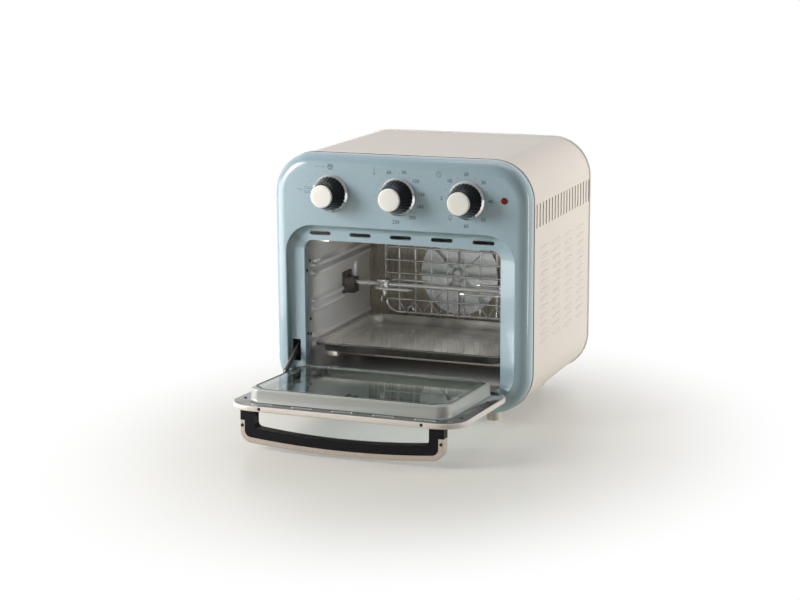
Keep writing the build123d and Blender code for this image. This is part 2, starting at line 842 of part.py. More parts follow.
FORKS = {"spit_fork_left": (-fork_offset, 1), "spit_fork_right": (fork_offset + fork_block, -1)}
for label, (x, point) in FORKS.items():
    block_face = x - point * fork_block / 2
    with BuildPart() as fork:
        with BuildSketch(sideways(block_face)):
            with Locations(spit_centre):
                RectangleRounded(fork_block, fork_block, drive_gap)
        extrude(amount=point * fork_block)
        prong_end = x + point * (prong_length - prong_tip)
        with BuildLine(Plane.XY.offset(spit_centre[1])) as fork_wire:
            FilletPolyline(
                (prong_end, spit_centre[0] - fork_span / 2),
                (x, spit_centre[0] - fork_span / 2),
                (x, spit_centre[0] + fork_span / 2),
                (prong_end, spit_centre[0] + fork_span / 2),
                radius=fork_bend,
            )
        with BuildSketch(Plane(origin=fork_wire.line @ 0, z_dir=fork_wire.line % 0)):
            Circle(prong_radius)
        sweep(path=fork_wire.line)
        tips = fork.faces().filter_by(Axis.X).group_by(SortBy.AREA)[0]
        for tip in tips:
            extrude(tip, amount=prong_tip, taper=prong_taper)
        with BuildSketch(sideways(block_face)):
            with Locations(spit_centre):
                Circle(spit_radius + running_gap)
        extrude(amount=point * fork_block, mode=Mode.SUBTRACT)
        with BuildSketch(Plane.XY.offset(spit_centre[1] - fork_block / 2)):
            with Locations((x, spit_centre[0])):
                Circle(prong_radius + press_gap)
        extrude(amount=fork_block / 2, mode=Mode.SUBTRACT)
    keep(fork, label)

with BuildPart() as fork_screws:
    for x, point in FORKS.values():
        top = spit_centre[1] - spit_radius - running_gap
        with BuildSketch(Plane.XY.offset(top)):
            with Locations((x, spit_centre[0])):
                Circle(prong_radius)
        extrude(amount=spit_radius - fork_block / 2 - screw_length)
        wing_z = spit_centre[1] - fork_block / 2 - screw_length - wing_height / 3
        with BuildSketch(sideways(x - wing_thickness / 2)):
            with Locations((spit_centre[0], wing_z)):
                SlotOverall(wing_width, wing_height)
        extrude(amount=wing_thickness)
keep(fork_screws, "fork_screws")

# Door frame: a moulded ring with a window, a ledge for the glass, a flange pocket and two hinge bores
flange_lift = door_face - flange_thickness
ledge_lift = door_face - door_thickness + glass_ledge


def door_panel(lift, low, high, width, corner):
    """Sketches a rounded rectangle on the door at a lift, from one reach to another."""
    with BuildSketch(door_plane.offset(lift)) as panel:
        with Locations((0, -(low + high) / 2)):
            RectangleRounded(width, high - low, corner)
    return panel.sketch


def door_outline(lift, low, inset):
    """Sketches the door's own outline at a lift, from a reach to the far edge, smaller by an inset."""
    with BuildSketch(door_plane.offset(lift)) as panel:
        with Locations((0, -(low + door_reach - inset) / 2)):
            Rectangle(door_width - 2 * inset, door_reach - inset - low)
        fillet(panel.vertices().group_by(Axis.Y)[0], radius=door_corner - inset)
        fillet(panel.vertices().group_by(Axis.Y)[-1], radius=hinge_corner - inset)
    return panel.sketch


door_axis = Axis(hinge_point, door_up)
reach_axis = Axis(hinge_point, door_out)
outer_lift = door_face - door_thickness
band_lift = door_face - door_thickness / 2
pane_low = window_low - glass_rebate
pane_high = window_high + glass_rebate
pane_width = window_width + 2 * glass_rebate
pane_corner = window_corner + glass_rebate
with BuildPart() as door_frame:
    extrude(door_outline(outer_lift, -door_tail, 0), amount=door_thickness)
    fillet(door_frame.faces().sort_by(door_axis)[0].edges(), radius=door_rim_round)
    inner_face = door_frame.faces().sort_by(door_axis)[-1]
    fillet(inner_face.edges().sort_by(reach_axis)[0], radius=door_edge_round)
    window = door_panel(outer_lift, window_low, window_high, window_width, window_corner)
    extrude(window, amount=door_thickness, mode=Mode.SUBTRACT)
    rebate = door_panel(ledge_lift, pane_low, pane_high, pane_width, pane_corner)
    extrude(rebate, amount=door_thickness, mode=Mode.SUBTRACT)
    flange_pocket = door_outline(flange_lift, flange_low, door_lip)
    extrude(flange_pocket, amount=flange_thickness, mode=Mode.SUBTRACT)
    for side in (-1, 1):
        with BuildSketch(sideways(side * door_width / 2)):
            with Locations((hinge_point[1], hinge_point[2])):
                Circle(pin_radius + running_gap)
        extrude(amount=side * (pin_start - running_gap - door_width / 2), mode=Mode.SUBTRACT)
    with BuildSketch(across_door(door_reach - small_head_height)):
        with Locations((-band_screw_x, band_lift), (band_screw_x, band_lift)):
            Circle(small_head + press_gap)
    extrude(amount=small_head_height, mode=Mode.SUBTRACT)
keep(door_frame, "door_frame")

with BuildPart() as hinge_pins:
    for side in (-1, 1):
        with BuildSketch(sideways(side * pin_end)):
            with Locations((hinge_point[1], hinge_point[2])):
                Circle(pin_radius)
        extrude(amount=side * (pin_start - pin_end))
keep(hinge_pins, "hinge_pins")

# Outer glass: lies on the ledge of the door frame
with BuildPart() as door_glass_outer:
    pane = door_panel(
        ledge_lift,
        pane_low + glass_gap,
        pane_high - glass_gap,
        pane_width - 2 * glass_gap,
        pane_corner - glass_gap,
    )
    extrude(pane, amount=glass_thickness)
keep(door_glass_outer, "door_glass_outer")

# Inner door frame: a flange with slots, a raised plug with sloping walls, and a seat for the inner glass
plug_top = door_face + plug_height
seat_lift = plug_top - glass_thickness
slope = plug_height * tan(radians(plug_draft))
seat_width = plug_width - 2 * (slope + seat_border)
seat_low = plug_low + slope + seat_border
seat_high = plug_high - slope - seat_border


def seat_panel(lift, inset, cut):
    """Sketches the seat's outline on the door, smaller by an inset, with its corners cut off."""
    with BuildSketch(door_plane.offset(lift)) as panel:
        with Locations((0, -(seat_low + seat_high) / 2)):
            Rectangle(seat_width - 2 * inset, seat_high - seat_low - 2 * inset)
        chamfer(panel.vertices(), length=cut)
    return panel.sketch


with BuildPart() as door_inner_frame:
    extrude(flange_pocket, amount=flange_thickness)
    plug_foot = door_panel(door_face, plug_low, plug_high, plug_width, plug_corner)
    extrude(plug_foot, amount=plug_height, taper=plug_draft)
    fillet(door_inner_frame.faces().sort_by(door_axis)[-1].edges(), radius=plug_round)
    hollow = door_panel(
        flange_lift,
        plug_low + plug_wall,
        plug_high - plug_wall,
        plug_width - 2 * plug_wall,
        plug_corner - plug_wall,
    )
    hollow_height = seat_lift - plug_wall - flange_lift
    extrude(hollow, amount=hollow_height, taper=plug_draft, mode=Mode.SUBTRACT)
    extrude(seat_panel(seat_lift, 0, glass_chamfer), amount=glass_thickness, mode=Mode.SUBTRACT)
    plug_window = seat_panel(flange_lift, plug_window_inset, glass_chamfer - plug_window_inset)
    extrude(plug_window, amount=plug_top, mode=Mode.SUBTRACT)
    with BuildSketch(door_plane.offset(flange_lift)):
        with Locations((0, -door_slot_reach)):
            with GridLocations(door_slot_pitch, 0, vent_count, 1):
                SlotOverall(door_slot_length, door_slot_width)
    extrude(amount=flange_thickness, mode=Mode.SUBTRACT)
keep(door_inner_frame, "door_inner_frame")

with BuildPart() as door_glass_inner:
    extrude(seat_panel(seat_lift, glass_gap, glass_chamfer), amount=glass_thickness)
keep(door_glass_inner, "door_glass_inner")

# Small screws of the door: four on the flange and two sunk in the front band
with BuildPart() as door_screws:
    with BuildSketch(door_plane.offset(door_face)):
        for reach in flange_screw_reaches:
            with Locations((-flange_screw_x, -reach), (flange_screw_x, -reach)):
                Circle(small_head)
    extrude(amount=small_head_height)
    with BuildSketch(across_door(door_reach - small_head_height)):
        with Locations((-band_screw_x, band_lift), (band_screw_x, band_lift)):
            Circle(small_head)
    extrude(amount=small_head_height)
keep(door_screws, "door_screws")

# Handle: a bowed grip on two posts, and a strip that wraps its outer side
handle_far = door_reach - handle_setback
handle_near = handle_far - handle_depth
half_handle = handle_width / 2
bar_low = outer_lift - handle_drop
strip_top = outer_lift - strip_start


def handle_shape(half, top, low, corner):
    """Sketches a filled U on the handle's near plane: two straight sides and a bowed bottom."""
    with BuildSketch(across_door(handle_near)) as shape:
        with BuildLine():
            Polyline((-half, low), (-half, top), (half, top), (half, low))
            ThreePointArc((half, low), (0, low - handle_bow), (-half, low))
        make_face()
        fillet(shape.vertices().group_by(Axis.Y)[0], radius=corner)
    return shape.sketch


strip_core = handle_shape(
    half_handle - strip_thickness,
    strip_top,
    bar_low + strip_thickness,
    handle_corner - strip_thickness,
)
with BuildPart() as handle_strip:
    extrude(handle_shape(half_handle, strip_top, bar_low, handle_corner), amount=handle_depth)
    for face in handle_strip.faces().filter_by(reach_axis):
        fillet(face.edges().filter_by(Axis.X, reverse=True), radius=handle_round)
    extrude(strip_core, amount=handle_depth, mode=Mode.SUBTRACT)
keep(handle_strip, "handle_strip")

with BuildPart() as handle_grip:
    with BuildSketch(across_door(handle_near)):
        with Locations((0, (outer_lift + strip_top) / 2)):
            Rectangle(handle_width, strip_start)
    extrude(amount=handle_depth)
    fillet(handle_grip.edges().filter_by(door_axis), radius=handle_round)
    extrude(strip_core, amount=handle_depth)
    finger_space = handle_shape(
        half_handle - post_width,
        outer_lift,
        bar_low + strip_thickness + grip_thickness,
        grip_corner,
    )
    extrude(finger_space, amount=handle_depth, mode=Mode.SUBTRACT)
keep(handle_grip, "handle_grip")

with BuildPart() as handle_screws:
    with BuildSketch(across_door(handle_far)):
        with Locations((0, strip_top - handle_screw_drop)):
            with GridLocations(2 * handle_screw_x, 0, 2, 1):
                Circle(small_head)
    extrude(amount=small_head_height)
keep(handle_screws, "handle_screws")

# Door arm: a flat strip with an eye, which turns on its bracket's pin and slides through the frame's slot
arm_pivot = tuple(
    h + arm_reach * out + arm_lift * up for h, out, up in zip(hinge_point, door_out, door_up)
)
with BuildPart() as door_arm:
    with BuildSketch(sideways(arm_x - arm_thickness / 2)):
        with Locations(Location((arm_pivot[1], arm_pivot[2], 0), (0, 0, arm_angle))):
            Circle(arm_eye)
            with Locations((arm_length / 2, 0)):
                SlotOverall(arm_length + arm_height, arm_height)
            Circle(arm_pin + running_gap, mode=Mode.SUBTRACT)
    extrude(amount=arm_thickness)
keep(door_arm, "door_arm")

# Bracket of the arm: an upright tab with a foot on the door's flange, and the pin with its head
tab_x = arm_x + arm_thickness / 2 + arm_gap
with BuildPart() as arm_bracket:
    with BuildSketch(door_plane.offset(door_face)):
        with Locations((tab_x, -arm_reach)):
            Rectangle(arm_tab_foot, arm_tab_width, align=(Align.MIN, Align.CENTER))
    extrude(amount=arm_tab)
    with BuildSketch(door_plane.offset(door_face)):
        with Locations((tab_x, -arm_reach)):
            Rectangle(arm_tab, arm_tab_width, align=(Align.MIN, Align.CENTER))
    extrude(amount=arm_tab_rise)
    fillet(arm_bracket.faces().sort_by(door_axis)[-1].edges().filter_by(Axis.X), radius=arm_tab_width / 3)
    with BuildSketch(sideways(tab_x)):
        with Locations((arm_pivot[1], arm_pivot[2])):
            Circle(arm_pin)
    extrude(amount=-arm_thickness - 2 * arm_gap - arm_pin_head_length)
    with BuildSketch(sideways(arm_x - arm_thickness / 2 - arm_gap)):
        with Locations((arm_pivot[1], arm_pivot[2])):
            Circle(arm_pin_head)
    extrude(amount=-arm_pin_head_length)
keep(arm_bracket, "arm_bracket")

# Control bracket: a folded sheet behind the fascia that carries the switch, the thermostat and the timer
mount_y = front_y + bracket_setback + bracket_sheet
axis_z = base_z + knob_height
with BuildPart() as control_bracket:
    with BuildSketch(upright(mount_y)):
        with Locations((0, base_z + (bracket_low + bracket_high) / 2)):
            Rectangle(2 * bracket_half, bracket_high - bracket_low)
        with Locations((0, axis_z)):
            with GridLocations(knob_pitch, 0, 3, 1):
                Circle(shaft_radius + running_gap, mode=Mode.SUBTRACT)
    extrude(amount=bracket_sheet)
    with BuildSketch(upright(mount_y - bracket_sheet)):
        for flange_z in (bracket_low + bracket_sheet / 2, bracket_high - bracket_sheet / 2):
            with Locations((0, base_z + flange_z)):
                Rectangle(2 * bracket_half, bracket_sheet)
    extrude(amount=bracket_setback - frame_wall)
keep(control_bracket, "control_bracket")

with BuildPart() as function_switch:
    with BuildSketch(upright(mount_y + switch_depth)):
        with Locations((-knob_pitch, axis_z)):
            RectangleRounded(switch_size, switch_size, control_corner)
    extrude(amount=switch_depth)

with BuildPart() as thermostat:
    with BuildSketch(upright(mount_y + thermostat_depth)):
        with Locations((0, axis_z)):
            Circle(thermostat_radius)
    extrude(amount=thermostat_depth)

with BuildPart() as timer:
    with BuildSketch(upright(mount_y + timer_depth)):
        with Locations((knob_pitch, axis_z)):
            RectangleRounded(timer_width, timer_height, control_corner)
    extrude(amount=timer_depth)

# Each control gets a shaft, and each shaft a skirt, a knob and a cap
skirt_y = front_y - skirt_gap
knob_y = skirt_y - skirt_thickness
CONTROLS = {
    "function": (-knob_pitch, function_switch, "function_switch"),
    "thermostat": (0, thermostat, "thermostat"),
    "timer": (knob_pitch, timer, "timer"),
}
for name, (x, control, control_label) in CONTROLS.items():
    with control:
        with BuildSketch(upright(mount_y + shaft_depth + running_gap)):
            with Locations((x, axis_z)):
                Circle(shaft_radius + running_gap)
        extrude(amount=shaft_depth + running_gap, mode=Mode.SUBTRACT)
    keep(control, control_label)

    with BuildPart() as shaft:
        with BuildSketch(upright(mount_y + shaft_depth)):
            with Locations((x, axis_z)):
                Circle(shaft_radius)
        extrude(amount=mount_y + shaft_depth - knob_y + shaft_grip)
    keep(shaft, f"{name}_shaft")

    with BuildPart() as skirt:
        with BuildSketch(upright(skirt_y)):
            with Locations((x, axis_z)):
                Circle(skirt_radius)
                Circle(shaft_radius + press_gap, mode=Mode.SUBTRACT)
        extrude(amount=skirt_thickness)
        fillet(skirt.faces().sort_by(Axis.Y)[0].outer_wire().edges(), radius=skirt_thickness / 2)
    keep(skirt, f"{name}_knob_skirt")

    with BuildPart() as knob:
        with BuildSketch(upright(knob_y)):
            with Locations((x, axis_z)):
                Circle(knob_base)
        with BuildSketch(upright(knob_y - knob_length)):
            with Locations((x, axis_z)):
                Circle(knob_nose)
        loft()
        fillet(knob.faces().sort_by(Axis.Y)[0].edges(), radius=(knob_nose - cap_radius) / 2)
        with BuildSketch(upright(knob_y)):
            with Locations((x, axis_z)):
                Circle(shaft_radius + press_gap)
        extrude(amount=shaft_grip, mode=Mode.SUBTRACT)
    keep(knob, f"{name}_knob")

    with BuildPart() as cap:
        with BuildSketch(upright(knob_y - knob_length)):
            with Locations((x, axis_z)):
                Circle(cap_radius)
        extrude(amount=cap_thickness)
        fillet(cap.faces().sort_by(Axis.Y)[0].edges(), radius=knob_round)
    keep(cap, f"{name}_knob_cap")

# Indicator lamp: its lens shows in front of the fascia, and a flange holds it from behind
with BuildPart() as indicator_lens:
    with BuildSketch(upright(front_y + lamp_length)):
        with Locations((lamp_x, base_z + lamp_z)):
            Circle(lamp_radius)
    extrude(amount=lamp_length + lamp_dome)
    fillet(indicator_lens.faces().sort_by(Axis.Y)[0].edges(), radius=lamp_dome)
    with BuildSketch(upright(front_y + frame_wall + lamp_flange_length)):
        with Locations((lamp_x, base_z + lamp_z)):
            Circle(lamp_flange)
    extrude(amount=lamp_flange_length)
keep(indicator_lens, "indicator_lens")

# Case screws: round heads on the rear panel and under the shell's bottom lips
with BuildPart() as cabinet_screws:
    with BuildSketch(upright(rear_panel_y)):
        with Locations((0, frame_mid)):
            with GridLocations(2 * rear_screw_x, rear_screw_pitch, 2, 2):
                Circle(screw_head)
            with GridLocations(rear_screw_pitch, 2 * rear_screw_z, 2, 2):
                Circle(screw_head)
    extrude(amount=-screw_head_height)
    with BuildSketch(Plane.XY.offset(base_z + case_inset)):
        for y in lip_screw_ys:
            with Locations((-lip_screw_x, front_y + y), (lip_screw_x, front_y + y)):
                Circle(screw_head)
    extrude(amount=-screw_head_height)
keep(cabinet_screws, "cabinet_screws")

# Small screws in the collar's sides and rivets in the liner's side walls
with BuildPart() as liner_screws:
    for side in (-1, 1):
        with BuildSketch(sideways(side * opening_width / 2)):
            for z in collar_screw_zs:
                with Locations((front_y + collar_screw_y, base_z + z)):
                    Circle(small_head)
        extrude(amount=-side * small_head_height)
        with BuildSketch(sideways(side * half_cavity)):
            for z in rivet_zs:
                with Locations((front_y + rivet_y, base_z + z)):
                    Circle(small_head)
        extrude(amount=-side * small_head_height)
keep(liner_screws, "liner_screws")

# Baking tray: a drawn pan with sloping walls, whose flat rim lies on the lowest guides
tray_mid = front_y + tray_front + tray_length / 2
basin_width = tray_width - 2 * tray_rim
basin_length = tray_length - 2 * tray_rim
with BuildPart() as baking_tray:
    with BuildSketch(Plane.XY.offset(tray_z)):
        with Locations((0, tray_mid)):
            RectangleRounded(tray_width, tray_length, tray_corner)
    extrude(amount=tray_sheet)
    with BuildSketch(Plane.XY.offset(tray_z + tray_sheet)):
        with Locations((0, tray_mid)):
            RectangleRounded(basin_width, basin_length, tray_corner)
    extrude(amount=-tray_drop, taper=tray_draft)
    with BuildSketch(Plane.XY.offset(tray_z + tray_sheet)):
        with Locations((0, tray_mid)):
            RectangleRounded(
                basin_width - 2 * tray_sheet,
                basin_length - 2 * tray_sheet,
                tray_corner - tray_sheet,
            )
    extrude(amount=tray_sheet - tray_drop, taper=tray_draft, mode=Mode.SUBTRACT)
keep(baking_tray, "baking_tray")
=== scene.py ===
"""Countertop convection oven with its drop-down door open, dressed for rendering."""
import json
import logging
import math
from collections.abc import Callable, Iterable, Sequence
from dataclasses import dataclass, field
from enum import Enum

import bmesh
import bpy
from mathutils import Matrix, Vector


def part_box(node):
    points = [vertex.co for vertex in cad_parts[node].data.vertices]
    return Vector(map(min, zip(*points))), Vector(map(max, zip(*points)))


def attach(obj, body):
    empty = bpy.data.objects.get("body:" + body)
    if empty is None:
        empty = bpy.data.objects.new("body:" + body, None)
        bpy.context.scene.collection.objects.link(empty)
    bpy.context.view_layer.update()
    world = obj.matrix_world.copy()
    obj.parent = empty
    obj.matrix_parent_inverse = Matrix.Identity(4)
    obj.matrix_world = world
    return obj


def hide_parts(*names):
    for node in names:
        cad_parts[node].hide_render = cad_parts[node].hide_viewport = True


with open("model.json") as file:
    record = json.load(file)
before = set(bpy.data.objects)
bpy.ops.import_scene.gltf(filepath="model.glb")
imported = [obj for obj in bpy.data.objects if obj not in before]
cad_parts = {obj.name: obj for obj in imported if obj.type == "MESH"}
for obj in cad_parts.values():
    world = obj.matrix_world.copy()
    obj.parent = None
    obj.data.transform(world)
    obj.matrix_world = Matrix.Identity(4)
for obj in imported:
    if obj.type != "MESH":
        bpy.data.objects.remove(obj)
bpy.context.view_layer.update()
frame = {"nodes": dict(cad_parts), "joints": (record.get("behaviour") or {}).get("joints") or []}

MM = 0.001
NOISE_LOW, NOISE_HIGH = 0.3, 0.7
NODE_WELD, WELD, PRINT_WELD = 2e-6, 1e-6, 1e-7
SMOOTH = {"interpolation_type": "SMOOTHSTEP"}
WHITE = (1.0, 1.0, 1.0, 1.0)
LOG = logging.getLogger("oven")

Point = tuple[float, float, float]
Colour = tuple[float, float, float]
Outline = list[tuple[float, float]]
Stroke = tuple[Outline, bool]
Ring = list[Vector]
Socket = bpy.types.NodeSocket


def srgb(red: int, green: int, blue: int) -> Colour:
    """Turns an 8-bit display colour into linear values.

    Args:
        red: red, 0 to 255.
        green: green, 0 to 255.
        blue: blue, 0 to 255.

    Returns:
        The linear red, green and blue.
    """
    def linear(level: int) -> float:
        """Gives one channel's linear value."""
        part = level / 255
        return part / 12.92 if part <= 0.04045 else ((part + 0.055) / 1.055) ** 2.4

    return linear(red), linear(green), linear(blue)


class Place:
    """Places of the oven in metres: depth counts from the front plane, height from the frame's bottom."""

    front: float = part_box("front_frame")[0].y
    base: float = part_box("front_frame")[0].z

    @classmethod
    def at(cls, x: float, depth: float, height: float) -> Vector:
        """Gives the point at x, depth and height, all in millimetres."""
        return Vector((x * MM, cls.front + depth * MM, cls.base + height * MM))

    @classmethod
    def case_matrix(cls) -> Matrix:
        """Gives the matrix that takes (x, depth, height) in millimetres to the oven's frame."""
        return Matrix.Translation((0, cls.front, cls.base)) @ Matrix.Diagonal((MM, MM, MM, 1))


class DoorPlace:
    """Places on the open door: reach counts outwards from its hinge axis, lift square to it."""

    joint: dict = next(joint for joint in frame["joints"] if joint["name"] == "door_hinge")
    axis: Vector = Vector(joint["pos_m"])
    tilt: float = math.radians(90.0 - joint["range_deg"][1])
    out: Vector = Vector((0.0, -math.cos(tilt), math.sin(tilt)))
    up: Vector = Vector((0.0, math.sin(tilt), math.cos(tilt)))

    @classmethod
    def matrix(cls) -> Matrix:
        """Gives the matrix that takes (x, reach, lift) in millimetres to the oven's frame."""
        turn = Matrix(((1.0, 0.0, 0.0), cls.out, cls.up)).transposed()
        return Matrix.Translation(cls.axis) @ (turn * MM).to_4x4()


class NodeSheet:
    """A node tree with short calls for adding and joining nodes."""

    def __init__(self, tree: bpy.types.NodeTree) -> None:
        """Keeps the tree that the nodes go into."""
        self.tree = tree

    def fill(self, node: bpy.types.Node, *values: object, **inputs: object) -> bpy.types.Node:
        """Sets a node's inputs to plain values, or joins them to output sockets.

        Args:
            node: the node.
            values: what its open inputs get, in their order.
            inputs: what inputs get by name, with spaces written as underscores.

        Returns:
            The same node.
        """
        pairs = list(zip([socket for socket in node.inputs if socket.enabled], values))
        pairs += [(node.inputs[name.replace("_", " ")], value) for name, value in inputs.items()]
        for socket, value in pairs:
            if isinstance(value, Socket):
                self.tree.links.new(value, socket)
            else:
                socket.default_value = value
        return node

    def add(
        self, kind: str, settings: dict | None = None, *values: object, **inputs: object
    ) -> bpy.types.Node:
        """Adds one node.

        Args:
            kind: the node's type, such as "ShaderNodeMath".
            settings: attributes to set on the node itself.
            values: what its open inputs get, in their order.
            inputs: what inputs get by name, with spaces written as underscores.

        Returns:
            The new node.
        """
        node = self.tree.nodes.new(kind)
        for name, value in (settings or {}).items():
            setattr(node, name, value)
        return self.fill(node, *values, **inputs)

    def out(self, kind: str, settings: dict | None = None, *values: object, **inputs: object) -> Socket:
        """Adds one node as add does, and gives its first open output."""
        node = self.add(kind, settings, *values, **inputs)
        return next(socket for socket in node.outputs if socket.enabled)

    def where(self) -> Socket:
        """Gives the object's own coordinates."""
        return self.add("ShaderNodeTexCoord").outputs["Object"]

    def stretched_noise(self, stretch: Point, scale: float, detail: float = 3.0) -> Socket:
        """Adds noise on the object's own coordinates, drawn out along an axis.

        Args:
            stretch: the scale of the coordinates along X, Y and Z.
            scale: the noise's scale.
            detail: how many finer layers it has.

        Returns:
            The noise's value.
        """
        mapped = self.out("ShaderNodeMapping", Vector=self.where(), Scale=stretch)
        return self.out("ShaderNodeTexNoise", Vector=mapped, Scale=scale, Detail=detail)

    def level(self, noise: Socket, low: float, high: float) -> Socket:
        """Spreads the usual span of a noise over a new range, from low to high."""
        return self.out("ShaderNodeMapRange", None, noise, NOISE_LOW, NOISE_HIGH, low, high)

    def blend(self, factor: Socket, first: Colour, second: Colour) -> Socket:
        """Mixes two linear colours, by a factor of 0 for the first and 1 for the second."""
        return self.out("ShaderNodeMix", {"data_type": "RGBA"}, factor, rgba(first), rgba(second))


def rgba(colour: Colour) -> tuple[float, ...]:
    """Gives a colour its fourth channel."""
    return (*colour, 1.0)


def shade(colour: Colour, factor: float) -> Colour:
    """Makes a colour darker or lighter.

    Args:
        colour: a linear colour.
        factor: 1 leaves it, less makes it darker.

    Returns:
        The new colour.
    """
    return tuple(min(1.0, part * factor) for part in colour)


class Grain(Enum):
    """The direction of a brushed or rolled sheet's streaks, as the stretch of its coordinates."""

    ALONG_X = (0.03, 1.0, 1.0)
    ALONG_Y = (1.0, 0.03, 1.0)
    ALONG_Z = (1.0, 1.0, 0.03)
    EVEN = (1.0, 1.0, 1.0)


@dataclass(frozen=True)
class Finish:
    """A surface: its colour, gloss, faint mottling and fine relief."""

    name: str
    colour: Colour
    roughness: float = 0.4
    metallic: float = 0.0
    mottle: float = 0.04
    mottle_scale: float = 18.0
    roughness_spread: float = 0.05
    relief: float = 0.02
    relief_depth: float = 0.00005
    relief_scale: float = 900.0
    grain: Grain = Grain.EVEN
    coat: float = 0.0
    coat_roughness: float = 0.05
    specular: float = 0.5
    glow: float = 0.0

    def material(self) -> bpy.types.Material:
        """Gives the finish's material.

        Returns:
            The material, made on first use.
        """
        made = bpy.data.materials.get(self.name)
        if made is None:
            made = bpy.data.materials.new(self.name)
            made.use_nodes = True
            made.diffuse_color = rgba(self.colour)
            self.paint(NodeSheet(made.node_tree), made.node_tree.nodes["Principled BSDF"])
        return made

    def paint(self, sheet: NodeSheet, shader: bpy.types.Node) -> None:
        """Fills the material's node tree.

        Args:
            sheet: the material's tree.
            shader: its Principled BSDF.
        """
        patches = sheet.level(sheet.stretched_noise(self.grain.value, self.mottle_scale), 0.0, 1.0)
        dark, light = shade(self.colour, 1 - self.mottle), shade(self.colour, 1 + self.mottle)
        colour = sheet.blend(patches, dark, light)
        fine = sheet.stretched_noise(self.grain.value, self.relief_scale, detail=4.0)
        low, high = self.roughness - self.roughness_spread, self.roughness + self.roughness_spread
        gloss = sheet.level(fine, low, high)
        bump = sheet.out("ShaderNodeBump", Strength=self.relief, Distance=self.relief_depth, Height=fine)
        sheet.fill(shader, Base_Color=colour, Roughness=gloss, Normal=bump, Metallic=self.metallic)
        sheet.fill(shader, Coat_Weight=self.coat, Coat_Roughness=self.coat_roughness)
        sheet.fill(shader, Specular_IOR_Level=self.specular)
        if self.glow:
            sheet.fill(shader, Emission_Color=rgba(self.colour), Emission_Strength=self.glow)


@dataclass(frozen=True)
class Galvanised(Finish):
    """Zinc-coated sheet: cells of slightly different grey and gloss."""

    cell_scale: float = 120.0
    cell_dark: float = 0.86
    cell_light: float = 1.08
    cell_gloss: float = 0.08

    def paint(self, sheet: NodeSheet, shader: bpy.types.Node) -> None:
        """Fills the tree, then gives the colour and the gloss a pattern of zinc cells.

        Args:
            sheet: the material's tree.
            shader: its Principled BSDF.
        """
        super().paint(sheet, shader)
        cells = sheet.add("ShaderNodeTexVoronoi", Vector=sheet.where(), Scale=self.cell_scale)
        factor = sheet.out("ShaderNodeSeparateColor", Color=cells.outputs["Color"])
        colour = sheet.blend(factor, shade(self.colour, self.cell_dark), shade(self.colour, self.cell_light))
        low, high = self.roughness - self.cell_gloss, self.roughness + self.cell_gloss
        gloss = sheet.out("ShaderNodeMapRange", Value=factor, To_Min=low, To_Max=high)
        sheet.fill(shader, Base_Color=colour, Roughness=gloss)


@dataclass(frozen=True)
class OvenSteel(Finish):
    """Liner sheet: rolled steel with streaks, and faint brown heat marks towards the roof."""

    heat_colour: Colour = srgb(150, 124, 98)
    heat_from: float = 0.19
    heat_to: float = 0.235
    heat_amount: float = 0.35
    cloud_scale: float = 25.0
    cloud_span: tuple[float, float] = (0.3, 1.6)

    def paint(self, sheet: NodeSheet, shader: bpy.types.Node) -> None:
        """Fills the tree, then browns the colour with height.

        Args:
            sheet: the material's tree.
            shader: its Principled BSDF.
        """
        super().paint(sheet, shader)
        height = sheet.add("ShaderNodeSeparateXYZ", Vector=sheet.where()).outputs["Z"]
        heights = (self.heat_from, self.heat_to)
        rise = sheet.out("ShaderNodeMapRange", None, height, *heights, 0.0, self.heat_amount)
        clouds = sheet.level(sheet.stretched_noise(Grain.EVEN.value, self.cloud_scale), *self.cloud_span)
        uneven = sheet.out("ShaderNodeMath", {"operation": "MULTIPLY"}, rise, clouds)
        plain = shader.inputs["Base Color"].links[0].from_socket
        brown = sheet.out("ShaderNodeMix", {"data_type": "RGBA"}, uneven, plain, rgba(self.heat_colour))
        sheet.fill(shader, Base_Color=brown)


@dataclass(frozen=True)
class PaneGlass(Finish):
    """Tempered glass: clear, faintly green, with a smooth polished face and a paler shadow."""

    ior: float = 1.5
    shadow: Colour = (0.95, 0.97, 0.96)
    wave_scale: float = 30.0
    wave_shade: float = 0.97

    def paint(self, sheet: NodeSheet, shader: bpy.types.Node) -> None:
        """Fills the tree with clear glass, very faint roller waves and a way through for the lamps.

        Args:
            sheet: the material's tree.
            shader: its Principled BSDF.
        """
        waves = sheet.stretched_noise(Grain.ALONG_X.value, self.wave_scale)
        colour = sheet.blend(waves, shade(self.colour, self.wave_shade), self.colour)
        bump = sheet.out("ShaderNodeBump", Strength=self.relief, Distance=self.relief_depth, Height=waves)
        sheet.fill(shader, Base_Color=colour, Roughness=self.roughness, Normal=bump, Transmission_Weight=1.0)
        sheet.fill(shader, IOR=self.ior)
        shaded = sheet.add("ShaderNodeLightPath").outputs["Is Shadow Ray"]
        clear = sheet.out("ShaderNodeBsdfTransparent", Color=rgba(self.shadow))
        mix = sheet.out("ShaderNodeMixShader", None, shaded, shader.outputs["BSDF"], clear)
        sheet.fill(sheet.tree.nodes["Material Output"], Surface=mix)


class Body(Enum):
    """The bodies that pieces ride on."""

    OVEN = "oven"
    DOOR = "door"
    ARM = "arm"
    FAN = "fan"
    SPIT = "spit"
    TRAY = "tray"
    FUNCTION = "function_dial"
    THERMOSTAT = "thermostat_dial"
    TIMER = "timer_dial"


